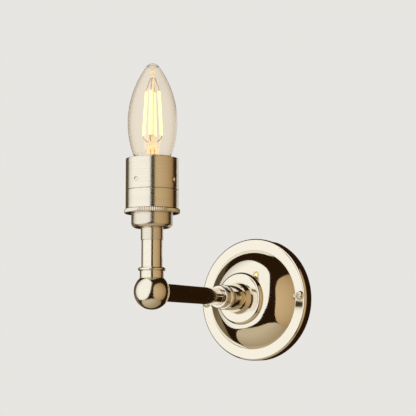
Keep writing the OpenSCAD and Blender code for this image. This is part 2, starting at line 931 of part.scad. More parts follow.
// Slotted screw through the connector into the strap tab.
module block_fixing_screw() {
  head_h = 1.8;
  color(zinc) from_wall() {
    translate([way_pitch / 2, block_z, 0]) {
      translate([0, 0, 0.5]) cylinder(r = fixing_r, h = strap_t + block_h - 0.5 + eps, $fn = 48);
      translate([0, 0, strap_t + block_h]) {
        difference() {
          cylinder(d = 4.6, h = head_h, $fn = 48);
          translate([0, 0, head_h]) cube([6, 0.7, 1.4], center = true);
        }
      }
    }
  }
}

function unit(v) = v / norm(v);

// Path through the points p with each inner corner rounded over the length r[i].
function rounded_path(p, r, n) = [
  p[0],
  for (i = [1:len(p) - 2])
    let (a = p[i] + r[i - 1] * unit(p[i - 1] - p[i]), b = p[i] + r[i - 1] * unit(p[i + 1] - p[i]))
      for (j = [0:n]) let (t = j / n)
        (1 - t) * (1 - t) * a + 2 * t * (1 - t) * p[i] + t * t * b,
  p[len(p) - 1]
];

function path_tangent(p, i) = unit(p[min(i + 1, len(p) - 1)] - p[max(i - 1, 0)]);

// Side vectors carried along the path without twist.
function path_sides(p, i, n, out) =
  i == len(p) ? out :
  let (t = path_tangent(p, i), m = unit(n - (n * t) * t))
    path_sides(p, i + 1, m, concat(out, [m]));

// One unbroken wire of round section along a path.
module wire(p, d) {
  m = 8;
  s = path_sides(p, 0, [1, 0, 0], []);
  last = len(p) - 1;
  pts = [for (i = [0:last]) let (t = path_tangent(p, i), u = s[i], v = cross(t, u))
    for (k = [0:m - 1]) p[i] + d / 2 * (cos(360 * k / m) * u + sin(360 * k / m) * v)];
  faces = concat(
    [[for (k = [0:m - 1]) k]],
    [for (i = [0:last - 1]) for (k = [0:m - 1]) let (a = i * m + k, b = i * m + (k + 1) % m)
      each [[a, a + m, b + m], [a, b + m, b]]],
    [[for (k = [m - 1:-1:0]) last * m + k]]
  );
  polyhedron(points = pts, faces = faces, convexity = 10);
}

// Route of a supply wire on side s, from the connector to the lampholder.
function supply_route(s) = rounded_path(
  [
    [s * way_pitch, -way_a, block_z + 1.5],
    [s * way_pitch, -way_a, -9],
    [s * wire_x, -way_a - 5, 0],
    [s * wire_x, -reach, 0],
    [s * wire_x, -reach, z_cup_floor + 1.3],
    [s * post_x, -reach, z_cup_floor + 4.6],
    [s * post_x, -reach, z_post + 3.6]
  ],
  [5, 5, 5, 3, 2.2], 7
);

// Supply wires, one on each side of the arm.
module live_wire() {
  color(brown) wire(supply_route(-1), wire_d);
}

module neutral_wire() {
  color(blue) wire(supply_route(1), wire_d);
}

// Wire from the connector to the earth tag.
module earth_wire() {
  lift = tag_tail_y - wire_d / 2 - 0.04;
  color(green) {
    wire(rounded_path(
      [[0, -way_a, block_z + 1.5], [0, -way_a, lift], [0, -a_tag + 0.6, lift]], [5], 7), wire_d);
  }
}

wall_rose();
rose_screws();
mounting_strap();
rose_boss();
arm_ferrule();
arm_tube();
arm_rod();
rod_washer();
rod_nut();
earth_tag();
ball_elbow();
stem_collar();
stem_tube();
stem_rod();
holder_cap();
knurled_ring();
lower_sleeve();
upper_sleeve();
holder_insulator();
screw_shell();
spring_contact();
holder_terminals();
terminal_clamp_screws();
bulb_glass();
bulb_cap();
cap_insulator();
cap_contact();
glass_mount();
led_filaments();
filament_supports();
driver_board();
lead_wires();
terminal_block();
block_sleeves();
block_screws();
block_fixing_screw();
live_wire();
neutral_wire();
earth_wire();
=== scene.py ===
"""Looks of a wall light: a spun rose, one arm, a ball elbow and a candle lamp.

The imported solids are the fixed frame. The classes below put finer surfaces on the solids
that show, dress every other solid, and set up a plain studio round the part. Lengths are in
millimetres and angles in degrees, unless a docstring says otherwise.
"""

from __future__ import annotations

import logging
import math
from abc import ABC, abstractmethod
from collections.abc import Mapping, Sequence
from dataclasses import dataclass
from enum import Enum
from typing import Any, ClassVar, NamedTuple

import bpy
import numpy as np
from mathutils import Matrix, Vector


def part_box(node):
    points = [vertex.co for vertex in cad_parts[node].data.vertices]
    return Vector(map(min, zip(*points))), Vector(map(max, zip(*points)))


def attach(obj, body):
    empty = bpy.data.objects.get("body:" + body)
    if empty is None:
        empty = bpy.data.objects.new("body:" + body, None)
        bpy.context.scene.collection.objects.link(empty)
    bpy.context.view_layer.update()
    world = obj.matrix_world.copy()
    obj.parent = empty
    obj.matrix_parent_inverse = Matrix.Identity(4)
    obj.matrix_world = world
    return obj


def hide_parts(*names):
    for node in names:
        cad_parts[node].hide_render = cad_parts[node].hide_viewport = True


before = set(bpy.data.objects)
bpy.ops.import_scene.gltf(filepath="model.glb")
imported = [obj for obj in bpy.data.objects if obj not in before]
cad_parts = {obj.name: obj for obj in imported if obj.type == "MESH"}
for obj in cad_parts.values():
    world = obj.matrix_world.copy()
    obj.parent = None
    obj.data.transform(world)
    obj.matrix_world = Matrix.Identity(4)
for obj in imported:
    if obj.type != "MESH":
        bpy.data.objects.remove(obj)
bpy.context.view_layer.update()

log = logging.getLogger("wall_light")

Array = np.ndarray
Colour = tuple[float, float, float]

MM = 0.001
FULL_TURN = 2 * math.pi
# Length below which two points count as one.
TINY = 1e-9
# Room left so that a surface stays just inside its solid, and play between two pieces.
HAIR = 0.01
PLAY = 0.05
# Roundings of edges, from sharp to soft.
CRISP = 0.1
BROKEN = 0.15
DULL = 0.2
BLUNT = 0.25
EASED = 0.3
MILD = 0.35
SOFTENED = 0.4


def smoothstep(low: float, high: float, x: Array) -> Array:
    """Cubic step from 0 at low to 1 at high."""
    u = np.clip((x - low) / (high - low), 0.0, 1.0)
    return u * u * (3 - 2 * u)


class Span(NamedTuple):
    """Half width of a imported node, and its two ends along an axis."""

    radius: float
    low: float
    high: float


class Axis(Enum):
    """Lines that pieces are turned about; the value is the coordinate along the line."""

    ARM = 1
    LAMP = 2

    def span(self, node: str) -> Span:
        """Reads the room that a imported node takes.

        Args:
            node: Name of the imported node.

        Returns:
            Its half width and its ends, counted from the wall outwards or up the lamp.
        """
        low, high = (np.array(corner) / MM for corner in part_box(node))
        ends = (-high[1], -low[1]) if self is Axis.ARM else (low[2], high[2])
        return Span((high[0] - low[0]) / 2, *ends)

    def place(self, r: Array | float, h: Array | float, t: Array | float) -> Array:
        """Turns radius, height and angle into points.

        Args:
            r: Distance from the axis.
            h: Distance along the axis.
            t: Angle about the axis, in radians.

        Returns:
            Points in metres, with the coordinates on the last array axis.
        """
        r, h, t = np.broadcast_arrays(r, h, t)
        across, up = r * np.cos(t), r * np.sin(t)
        if self is Axis.ARM:
            return np.stack([across, -h, up], axis=-1) * MM
        return np.stack([across, up - LAMP_A, h], axis=-1) * MM


LAMP_A = Axis.ARM.span("cap_contact").low + Axis.ARM.span("cap_contact").radius


class Outline:
    """Profile of a turned piece, as rows of radius, height and rounding."""

    STEPS: ClassVar[int] = 9
    GUARD: ClassVar[float] = 1.3

    def __init__(self, *corners: Sequence[float]) -> None:
        """Starts at the first corner and runs straight through the others."""
        self.rows = np.empty((0, 3))
        self.to(*corners)

    @classmethod
    def bored(cls, r: float, low: float, rounding: float = 0.0, lead: float = 1.0) -> Outline:
        """Starts a closed profile in a bore, a lead above the bore's lower edge."""
        return cls((r, low + lead), (r, low, rounding))

    def add(self, rows: Array | list[list[float]]) -> Outline:
        """Adds finished rows at the end."""
        self.rows = np.vstack([self.rows, np.reshape(rows, (-1, 3))])
        return self

    def to(self, *corners: Sequence[float]) -> Outline:
        """Runs straight on through corners.

        Args:
            *corners: Radius, height and, where a corner is rounded, the distance from it at
                which its rounding starts.

        Returns:
            This outline, for the next step.
        """
        return self.add([[*corner, 0.0][:3] for corner in corners])

    def column(self, r: float, heights: Array) -> Outline:
        """Runs through many heights at one radius."""
        return self.add(np.column_stack([0 * heights + r, heights, 0 * heights]))

    def arc(self, r: float, h: float, radius: float, start: float, end: float,
            count: int = 32, rounding: float = 0.0) -> Outline:
        """Runs along an arc.

        Args:
            r: Radius coordinate of the arc's centre.
            h: Height of the arc's centre.
            radius: Radius of the arc.
            start: First angle, from the outward direction.
            end: Last angle.
            count: Number of points.
            rounding: Rounding at the arc's last point.

        Returns:
            This outline, for the next step.
        """
        angle = np.radians(np.linspace(start, end, count))
        rows = np.column_stack([r + radius * np.cos(angle), h + radius * np.sin(angle), 0 * angle])
        rows[-1, 2] = rounding
        return self.add(rows)

    def points(self) -> Array:
        """Works out the profile with its corners rounded.

        Each corner becomes a conic arc between the two points that lie the rounding's length
        before and after it, and a guard point on each side keeps the flats beside it flat.

        Returns:
            Radius and height of each point, in order.
        """
        p, roundings = self.rows[:, :2], self.rows[:, 2]
        s = np.concatenate([[0.0], np.cumsum(np.linalg.norm(np.diff(p, axis=0), axis=1))])
        keep = np.ones(len(p), bool)
        runs, places = [], []
        u = np.linspace(0.0, 1.0, self.STEPS)[:, None]
        for i in np.flatnonzero(roundings):
            size = roundings[i]
            ends = s[i] + size * np.array([-self.GUARD, -1.0, 1.0, self.GUARD])
            g0, a, b, g1 = np.column_stack([np.interp(ends, s, p[:, k]) for k in (0, 1)])
            keep &= np.abs(s - s[i]) > size * self.GUARD
            chord = np.linalg.norm(b - a) / 2
            w = chord / max(np.linalg.norm(p[i] - a), TINY)
            bend = (1 - u) ** 2 * a + 2 * u * (1 - u) * w * p[i] + u**2 * b
            bend /= (1 - u) ** 2 + 2 * u * (1 - u) * w + u**2
            runs.append(np.vstack([g0, bend, g1]))
            places.append(np.concatenate([ends[:1], s[i] + size * (2 * u[:, 0] - 1), ends[3:]]))
        order = np.argsort(np.concatenate([s[keep], *places]), kind="stable")
        return np.vstack([p[keep], *runs])[order]


@dataclass
class Shell:
    """A closed surface: points in metres, and faces of four or three corners."""

    points: Array
    quads: Array
    tris: Array

    @classmethod
    def grid(cls, points: Array, loop: bool = False) -> Shell:
        """Joins a grid of points into a surface that is closed across its columns.

        Rows whose points all coincide become one pole.

        Args:
            points: Grid of shape (rows, columns, 3).
            loop: Whether the last row joins the first.

        Returns:
            The surface, with its faces turned outwards.
        """
        rows, columns = points.shape[:2]
        index = np.arange(rows * columns).reshape(rows, columns)
        poles = np.ptp(points, axis=1).max(axis=-1) < TINY
        index[poles] = index[poles, :1]
        if loop:
            index = np.vstack([index, index[:1]])
        index = np.hstack([index, index[:, :1]])
        corners = [index[:-1, :-1], index[:-1, 1:], index[1:, 1:], index[1:, :-1]]
        faces = np.stack(corners, axis=-1).reshape(-1, 4)
        first, last = faces[:, 0] == faces[:, 1], faces[:, 2] == faces[:, 3]
        quads = faces[~(first | last)]
        tris = np.vstack([faces[first & ~last][:, [0, 2, 3]], faces[last & ~first][:, :3]])
        used, back = np.unique(np.concatenate([quads.ravel(), tris.ravel()]), return_inverse=True)
        quads, tris = back[:quads.size].reshape(-1, 4), back[quads.size:].reshape(-1, 3)
        return cls(points.reshape(-1, 3)[used], quads, tris).outward()

    @classmethod
    def joined(cls, shells: Sequence[Shell]) -> Shell:
        """Puts several surfaces side by side into one.

        Args:
            shells: The surfaces.

        Returns:
            One surface that holds them all.
        """
        starts = np.cumsum([0] + [len(s.points) for s in shells[:-1]])
        return cls(np.vstack([s.points for s in shells]),
                   np.vstack([s.quads + k for s, k in zip(shells, starts)]),
                   np.vstack([s.tris + k for s, k in zip(shells, starts)]))

    def outward(self) -> Shell:
        """Flips the faces if the volume that they enclose comes out negative.

        Returns:
            This surface.
        """
        thirds = np.vstack([self.quads[:, :3], self.quads[:, [0, 2, 3]], self.tris])
        a, b, c = (self.points[thirds[:, k]] for k in range(3))
        if np.einsum("ij,ij->", a, np.cross(b, c)) < 0:
            self.quads, self.tris = self.quads[:, ::-1], self.tris[:, ::-1]
        return self

    def moved(self, offset: Array) -> Shell:
        """Shifts the surface by a vector in metres."""
        return Shell(self.points + offset, self.quads, self.tris)


class Relief(ABC):
    """Length that is added to a turned surface, point by point."""

    @abstractmethod
    def __call__(self, r: Array, h: Array, t: Array) -> Array:
        """Works out the length to add.

        Args:
            r: Radius of each point.
            h: Height of each point along the axis.
            t: Angle of each point about the axis, in radians.

        Returns:
            The length at each point.
        """


@dataclass(frozen=True)
class Thread(Relief):
    """Right-hand screw thread: a cosine groove that climbs one pitch in each turn."""

    pitch: float
    depth: float
    low: float
    high: float
    inner: float = 0.0

    def __call__(self, r: Array, h: Array, t: Array) -> Array:
        """Groove that fades out over one pitch at both ends and spares the inner radius."""
        zone = smoothstep(self.low, self.low + self.pitch, h)
        zone = zone * (1 - smoothstep(self.high - self.pitch, self.high, h))
        groove = 0.5 - 0.5 * np.cos(FULL_TURN * h / self.pitch - t)
        return -self.depth * groove * zone * (r > self.inner)


@dataclass(frozen=True)
class CrossRecess(Relief):
    """Cross pressed into a screw head; its depth falls off across each arm and along it.

    The turn about the screw is in radians.
    """

    half: float
    reach: float
    depth: float
    floor: float
    turn: float = 0.5

    def __call__(self, r: Array, h: Array, t: Array) -> Array:
        """Depth from the distances along and across the nearest arm, above the floor only."""
        x, y = abs(r * np.cos(t - self.turn)), abs(r * np.sin(t - self.turn))
        cross = 1 - smoothstep(0.6 * self.half, self.half, np.minimum(x, y))
        cross = cross * (1 - smoothstep(0.55 * self.reach, self.reach, np.maximum(x, y)))
        return -self.depth * cross * (h > self.floor)


@dataclass(frozen=True)
class Hexagon(Relief):
    """Six flats on a round edge, whose corners are cut by a cone at both faces."""

    flat: float
    low: float
    high: float
    rim: float = 1.0
    face_inset: float = 0.1
    slope: float = 1.8

    def __call__(self, r: Array, h: Array, t: Array) -> Array:
        """Distance from the round edge out to the hexagon, held by the cone."""
        side = self.flat / np.cos(np.mod(t, FULL_TURN / 6) - FULL_TURN / 12)
        inset = np.clip(np.minimum(h - self.low, self.high - h), 0.0, None)
        cone = self.flat - self.face_inset + inset * self.slope
        return np.where(r > self.flat - self.rim, np.minimum(side, cone) - r, 0.0)


@dataclass(frozen=True)
class Knurl(Relief):
    """Row of straight-sided teeth: a triangle wave of the angle."""

    teeth: int
    depth: float
    radius: float
    edge: float

    def __call__(self, r: Array, h: Array, t: Array) -> Array:
        """Depth of the teeth, shallower where the edge rounds away."""
        wave = 1 - abs(2 * np.mod(t * self.teeth / FULL_TURN, 1.0) - 1)
        full = self.radius - 0.3 * self.edge
        return -self.depth * wave * smoothstep(self.radius - self.edge, full, r)


@dataclass(frozen=True)
class Dimples(Relief):
    """Four caps of a ball pressed into a wall, with their rims blended into it."""

    wall: float
    inside: float
    centre: float
    size: float
    depth: float
    turn: float

    def __call__(self, r: Array, h: Array, t: Array) -> Array:
        """Depth of the nearest cap; the inside moves a little less than the outside."""
        ball = (self.size**2 + self.depth**2) / (2 * self.depth)
        quarter = FULL_TURN / 4
        turn = np.mod(t - math.radians(self.turn) + quarter / 2, quarter) - quarter / 2
        far = np.hypot(self.wall * turn, h - self.centre)
        cap = np.sqrt(np.clip(ball**2 - far**2, 0.0, None)) - (ball - self.depth)
        blend = 1 - 0.35 * smoothstep(0.75, 1.1, far / self.size)
        share = np.where(r > (self.wall + self.inside) / 2, 1.0, 0.85)
        return -np.where(far < self.size, cap, 0.0) * blend * share


def turned(outline: Outline, axis: Axis, relief: Relief | None = None, columns: int = 192,
           loop: bool = True, press: Relief | None = None) -> Shell:
    """Turns a profile about an axis: a grid of profile point by angle.

    Args:
        outline: The profile.
        axis: The axis it is turned about.
        relief: Added to the radius.
        columns: Number of steps round the axis.
        loop: Whether the profile is a closed loop, or else runs from pole to pole.
        press: Added to the height.

    Returns:
        The closed surface.
    """
    r, h = outline.points().T[:, :, None]
    t = np.arange(columns)[None, :] * FULL_TURN / columns
    if relief is not None:
        r = r + relief(r, h, t)
    if press is not None:
        h = h + press(r, h, t)
    return Shell.grid(axis.place(r, h, t), loop)


def tube(node: str, axis: Axis, bore: float, edge: float) -> Shell:
    """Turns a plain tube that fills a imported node.

    Args:
        node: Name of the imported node.
        axis: Axis of the tube.
        bore: Radius of its bore.
        edge: Rounding of its outer edges.

    Returns:
        The closed surface.
    """
    r, low, high = axis.span(node)
    shape = Outline.bored(bore, low, lead=5.0)
    return turned(shape.to((r, low, edge), (r, high, edge), (bore, high)), axis)


def swept(path: Array, radius: Array | float, columns: int = 24) -> Shell:
    """Carries a circle along a path, closed by a pole at each end.

    The circle's side vector is a fixed skew direction made square to the path's tangent.

    Args:
        path: Points of the centre line.
        radius: Radius of the circle, one value or one for each point.
        columns: Number of steps round the circle.

    Returns:
        The closed surface.
    """
    radius = np.pad(np.broadcast_to(radius, len(path)).astype(float), 1)
    tangent = np.gradient(path, axis=0)
    tangent = np.vstack([tangent[:1], tangent, tangent[-1:]])
    tangent /= np.linalg.norm(tangent, axis=1, keepdims=True)
    path = np.vstack([path[:1], path, path[-1:]])
    skew = np.array([0.36, 0.48, 0.8])
    side = skew - (tangent @ skew)[:, None] * tangent
    side /= np.linalg.norm(side, axis=1, keepdims=True)
    other = np.cross(tangent, side)
    t = np.arange(columns)[None, :, None] * FULL_TURN / columns
    ring = np.cos(t) * side[:, None] + np.sin(t) * other[:, None]
    return Shell.grid((path[:, None] + radius[:, None, None] * ring) * MM)


def rounded_path(corners: Sequence[Sequence[float]], runs: Sequence[float],
                 count: int = 12) -> Array:
    """Straight runs with each inner corner replaced by a parabola.

    Args:
        corners: Corner points of the path.
        runs: Length of the rounding before and after each inner corner.
        count: Number of points on each rounding.

    Returns:
        Points of the path.
    """
    p = np.array(corners, float)
    u = np.linspace(0.0, 1.0, count)[:, None]
    parts = [p[:1]]
    for before, corner, after, run in zip(p[:-2], p[1:-1], p[2:], runs):
        a = corner + run * (before - corner) / np.linalg.norm(before - corner)
        b = corner + run * (after - corner) / np.linalg.norm(after - corner)
        parts.append((1 - u) ** 2 * a + 2 * u * (1 - u) * corner + u**2 * b)
    return np.vstack([*parts, p[-1:]])


class Sock:
    """An output socket that takes part in sums."""

    def __init__(self, shader: Shader, socket: bpy.types.NodeSocket) -> None:
        """Wraps one socket of a shader's tree."""
        self.shader = shader
        self.socket = socket

    def __add__(self, other: Sock | float) -> Sock:
        """Sum."""
        return self.shader.math("ADD", self, other)

    def __sub__(self, other: Sock | float) -> Sock:
        """Difference."""
        return self.shader.math("SUBTRACT", self, other)

    def __rsub__(self, other: float) -> Sock:
        """Difference from a number."""
        return self.shader.math("SUBTRACT", other, self)

    def __mul__(self, other: Sock | float) -> Sock:
        """Product."""
        return self.shader.math("MULTIPLY", self, other)

    def __truediv__(self, other: Sock | float) -> Sock:
        """Quotient."""
        return self.shader.math("DIVIDE", self, other)

    def __rtruediv__(self, other: float) -> Sock:
        """Quotient of a number."""
        return self.shader.math("DIVIDE", other, self)

    def __gt__(self, other: Sock | float) -> Sock:
        """One where this is greater, else nought."""
        return self.shader.math("GREATER_THAN", self, other)

    def clipped(self) -> Sock:
        """Held between nought and one."""
        return self.shader.node("ShaderNodeClamp", inputs={0: self})

    __radd__ = __add__
    __rmul__ = __mul__


class Shader:
    """Builds the nodes of one tree."""

    def __init__(self, owner: bpy.types.Material | bpy.types.World) -> None:
        """Starts from an empty tree.

        Args:
            owner: The material or world whose tree it is.
        """
        owner.use_nodes = True
        self.tree = owner.node_tree
        self.tree.nodes.clear()

    def node(self, kind: str, settings: Mapping[str, Any] | None = None,
             inputs: Mapping[str | int, Any] | None = None, output: str | int = 0) -> Sock:
        """Makes any node.

        Args:
            kind: Blender's type of the node.
            settings: The node's own settings, which are set first.
            inputs: A value or a link for each socket.
            output: The output that is wanted.

        Returns:
            The wanted output.
        """
        made = self.tree.nodes.new(kind)
        for key, value in (settings or {}).items():
            setattr(made, key, value)
        for key, value in (inputs or {}).items():
            if isinstance(value, Sock):
                self.tree.links.new(value.socket, made.inputs[key])
            elif made.inputs[key].type == "RGBA":
                made.inputs[key].default_value = (*value, 1.0)
            else:
                made.inputs[key].default_value = value
        return Sock(self, made.outputs[output])

    def math(self, operation: str, *values: Sock | float) -> Sock:
        """One step of arithmetic on values."""
        return self.node("ShaderNodeMath", {"operation": operation}, dict(enumerate(values)))

    def mix(self, low: Sock | Colour, high: Sock | Colour, factor: Sock) -> Sock:
        """Blend of two colours."""
        return self.node("ShaderNodeMix", {"data_type": "RGBA"}, {0: factor, 6: low, 7: high}, 2)

    def fac(self, attribute: str) -> Sock:
        """Value that a mesh carries at its points."""
        return self.node("ShaderNodeAttribute", {"attribute_name": attribute}, output="Fac")

    def place(self, scale: Sequence[float] = (1.0, 1.0, 1.0)) -> Sock:
        """Object coordinates, stretched."""
        here = self.node("ShaderNodeTexCoord", output="Object")
        return self.node("ShaderNodeMapping", inputs={"Vector": here, "Scale": tuple(scale)})

    def noise(self, scale: float, detail: float = 2.0,
              stretch: Sequence[float] = (1.0, 1.0, 1.0)) -> Sock:
        """Cloudy value from nought to one."""
        return self.node("ShaderNodeTexNoise", inputs={
            "Vector": self.place(stretch), "Scale": scale, "Detail": detail})

    def bump(self, height: Sock, strength: float, distance: float) -> Sock:
        """Normal tilted by a height, with its depth in metres."""
        return self.node("ShaderNodeBump", inputs={
            "Height": height, "Strength": strength, "Distance": distance})

    def principled(self, **sockets: Any) -> Sock:
        """Surface shader, with its sockets named by words joined with underscores."""
        names = {k: k.replace("_", " ").title() for k in sockets} | {"ior": "IOR"}
        return self.node("ShaderNodeBsdfPrincipled", inputs={names[k]: sockets[k] for k in sockets})

    def show(self, surface: Sock, output: str = "ShaderNodeOutputMaterial") -> None:
        """Sends a surface to the tree's output."""
        made = self.tree.nodes.new(output)
        self.tree.links.new(surface.socket, made.inputs["Surface"])


def shaded(colour: Colour, *shares: float) -> Colour:
    """Colour with its three channels cut to shares, or all to one share."""
    return tuple(c * k for c, k in zip(colour, shares * (3 // len(shares))))


@dataclass(frozen=True)
class Finish(ABC):
    """Surface of a real material; the slot is the record's name for it."""

    made: ClassVar[dict[str, bpy.types.Material]] = {}

    name: str
    slot: str
    colour: Colour

    @abstractmethod
    def paint(self, shader: Shader) -> Sock:
        """Builds the surface in an empty shader.

        Args:
            shader: The shader.

        Returns:
            The surface.
        """

    def material(self) -> bpy.types.Material:
        """Makes the material once and hands out the same one after that.

        Returns:
            The material.
        """
        if self.name not in self.made:
            self.made[self.name] = bpy.data.materials.new(self.name)
            shader = Shader(self.made[self.name])
            shader.show(self.paint(shader))
        return self.made[self.name]


@dataclass(frozen=True)
class Nickel(Finish):
    """Nickel plate: a warm mirror with faint smudges, and turning lines where it is satin."""

    rough: float = 0.05
    smudge: float = 0.04
    grain: float = 0.0
    along: Axis = Axis.LAMP

    def lines(self, shader: Shader, spacing: float) -> Sock:
        """Fine rings about the piece's axis, as noise stretched square to it."""
        stretch = [spacing if k == self.along.value else 35.0 for k in range(3)]
        return shader.noise(1.0, 3.0, stretch)

    def paint(self, shader: Shader) -> Sock:
        """Smudges change the gloss and the warmth; turning lines tilt the normal as well."""
        cloud = shader.noise(55.0, 5.0)
        warm = shaded(self.colour, 0.97, 0.945, 0.90)
        tone = shader.mix(self.colour, warm, shader.noise(14.0, 2.0))
        rough = cloud * self.smudge + self.rough
        height = shader.noise(420.0, 2.0) * 0.02
        if self.grain > 0:
            coarse = self.lines(shader, 1700.0)
            worn = (coarse * 2.6 - 1.1).clipped() * self.grain
            tone = shader.mix(tone, shaded(self.colour, 0.86), worn)
            rough = rough + (coarse - 0.5) * self.grain * 0.12
            height = height + self.lines(shader, 7000.0) * self.grain
        return shader.principled(base_color=tone, metallic=1.0, roughness=rough,
                                 normal=shader.bump(height, 0.35, 0.00002))


@dataclass(frozen=True)
class Metal(Finish):
    """Bare or plated metal inside the part, mottled and slightly worn."""

    rough: float = 0.3
    mottle: float = 0.25
    bare: float = 1.0

    def paint(self, shader: Shader) -> Sock:
        """Cloudy oxide darkens the metal and dulls it."""
        cloud = shader.noise(160.0, 4.0)
        oxide = (cloud * 1.6 - 0.4).clipped()
        tone = shader.mix(self.colour, shaded(self.colour, 0.7), oxide)
        scratch = shader.noise(1.0, 2.0, (300.0, 300.0, 3200.0))
        return shader.principled(base_color=tone, metallic=self.bare,
                                 roughness=cloud * self.mottle + self.rough,
                                 normal=shader.bump(scratch, 0.12, 0.00003))


@dataclass(frozen=True)
class Moulded(Finish):
    """Plastic or fired clay with a fine skin."""

    rough: float = 0.4
    skin: float = 600.0
    coat: float = 0.0

    def tone(self, shader: Shader) -> Sock:
        """Colour with a slight cloud in it."""
        return shader.mix(self.colour, shaded(self.colour, 0.88), shader.noise(90.0, 4.0))

    def paint(self, shader: Shader) -> Sock:
        """Fine skin in the normal, and a cloud in colour and gloss."""
        skin = shader.noise(self.skin, 3.0)
        return shader.principled(base_color=self.tone(shader), metallic=0.0,
                                 roughness=skin * 0.15 + self.rough, coat_weight=self.coat,
                                 normal=shader.bump(skin, 0.15, 0.00005))


@dataclass(frozen=True)
class Striped(Moulded):
    """Wire sheath with a second colour along one side."""

    stripe: Colour = (1.0, 1.0, 1.0)

    def tone(self, shader: Shader) -> Sock:
        """Colour by the side of the wire."""
        return shader.mix(self.colour, self.stripe, shader.fac("side") > 0.2)


@dataclass(frozen=True)
class Glass(Finish):
    """Clear glass with a trace of handling on it, tinted amber where the eye looks along it: partly
    the glass's own edge darkening, partly painted warm lamplight.
    """

    ior: float = 1.47
    smear: float = 0.02
    glow: float = 0.0
    # Amber edge colour: partly the glass's darkening at grazing angles, partly painted lamplight
    # seen along the glass.
    edge: Colour = (0.62, 0.36, 0.12)
    glow_pale: Colour = (1.0, 0.74, 0.38)
    glow_deep: Colour = (1.0, 0.60, 0.22)

    def paint(self, shader: Shader) -> Sock:
        """Smears change the gloss, and a glow stands for lamplight caught in the glass."""
        smear = (shader.noise(38.0, 3.0) * 2.0 - 0.9).clipped()
        caught = shader.mix(self.glow_pale, self.glow_deep, shader.noise(140.0, 2.0))
        along = shader.node("ShaderNodeLayerWeight", inputs={"Blend": 0.5}, output="Facing")
        # Painted lamplight: the amber tint at grazing angles stands partly for the lamp's glow
        # along the glass edges.
        edge_tint_and_painted_glow = shader.mix(self.colour, self.edge, along * along * along)
        return shader.principled(base_color=edge_tint_and_painted_glow, metallic=0.0, ior=self.ior,
                                 transmission_weight=1.0, roughness=smear * self.smear,
                                 emission_color=caught, emission_strength=self.glow)


@dataclass(frozen=True)
class Glowing(Finish):
    """Lit filament: a yellow coat over a row of small chips."""

    light: Colour = (1.0, 0.8, 0.5)
    strength: float = 10.0

    def paint(self, shader: Shader) -> Sock:
        """The chips make a faint row of brighter beads along the lamp."""
        along = shader.node("ShaderNodeTexWave", {"bands_direction": "Z"}, {
            "Vector": shader.place(), "Scale": 180.0, "Distortion": 0.4})
        beads = shader.mix(shaded(self.light, 0.8), self.light, along)
        return shader.principled(base_color=self.colour, roughness=along * 0.2 + 0.4,
                                 emission_color=beads, emission_strength=self.strength)


NICKEL_TONE: Colour = (0.87, 0.83, 0.745)
POLISHED = Nickel("mirror_nickel", "polished_nickel", NICKEL_TONE)
TURNED = Nickel("turned_nickel", "polished_nickel", NICKEL_TONE, 0.05, 0.04, 0.2, Axis.ARM)
SOFT = Nickel("soft_nickel", "polished_nickel", NICKEL_TONE, 0.12, 0.06, 0.35)
SATIN = Nickel("satin_nickel", "polished_nickel", NICKEL_TONE, 0.165, 0.06, 0.9)
CUP = Nickel("cup_nickel", "polished_nickel", (0.80, 0.755, 0.67), 0.22, 0.06, 0.6)
LAMP_CAP = Nickel("lamp_cap_plate", "lamp_cap_metal", (0.80, 0.79, 0.76), 0.12, 0.08, 0.2)
ZINC = Metal("zinc_plate", "zinc_steel", (0.62, 0.63, 0.66), 0.34, 0.2, 0.5)
BRASS = Metal("turned_brass", "raw_brass", (0.83, 0.66, 0.34), 0.22)
SOLDER = Metal("solder", "solder_tin", (0.70, 0.70, 0.68), 0.4)
COPPER = Metal("bare_copper", "copper", (0.82, 0.46, 0.28), 0.25)
SUPPORT = Metal("clad_wire", "support_wire", (0.84, 0.61, 0.36), 0.3)
CERAMIC = Moulded("fired_ceramic", "white_ceramic", (0.90, 0.87, 0.80), 0.55, 900.0)
PLASTIC = Moulded("connector_plastic", "white_plastic", (0.86, 0.86, 0.83), 0.35, 1400.0, 0.2)
BOARD = Moulded("green_board", "circuit_board", (0.09, 0.33, 0.17), 0.45, 1200.0)
CONE = Moulded("cone_glass", "black_glass", (0.02, 0.02, 0.025), 0.08, 300.0, 0.5)
BROWN = Moulded("brown_rubber", "brown_sheath", (0.27, 0.13, 0.06), 0.35, 800.0, 0.2)
BLUE = Moulded("blue_rubber", "blue_sheath", (0.08, 0.25, 0.62), 0.35, 800.0, 0.2)
EARTH = Striped("striped_rubber", "green_yellow_sheath", (0.12, 0.42, 0.10), 0.35, 800.0, 0.2,
                (0.90, 0.78, 0.10))
CLEAR = Glass("candle_clear_glass", "clear_glass", (1.0, 0.96, 0.885))
# Mount glass: its amber tint and its glow are painted light from the lit filaments.
STEM_GLASS = Glass("stem_glass_painted_glow", "mount_glass", (1.0, 0.90, 0.70), smear=0.05, glow=0.1)
FILAMENT = Glowing("lit_filament", "filament_phosphor", (1.0, 0.82, 0.45), (1.0, 0.67, 0.26), 2.3)


def placed(name: str, data: bpy.types.ID) -> bpy.types.Object:
    """Links data into the scene as an object at the origin.

    Args:
        name: Name of the object.
        data: Its mesh, light or camera.

    Returns:
        The new object.
    """
    made = bpy.data.objects.new(name, data)
    bpy.context.scene.collection.objects.link(made)
    return made


def meshed(name: str, points: Array, faces: list[list[int]],
           paint: bpy.types.Material) -> bpy.types.Object:
    """Links a mesh into the scene.

    Args:
        name: Name of the object.
        points: Its points, in metres.
        faces: Corners of each face.
        paint: Its material.

    Returns:
        The new object.
    """
    mesh = bpy.data.meshes.new(name)
    mesh.from_pydata(points.tolist(), [], faces)
    mesh.materials.append(paint)
    return placed(name, mesh)


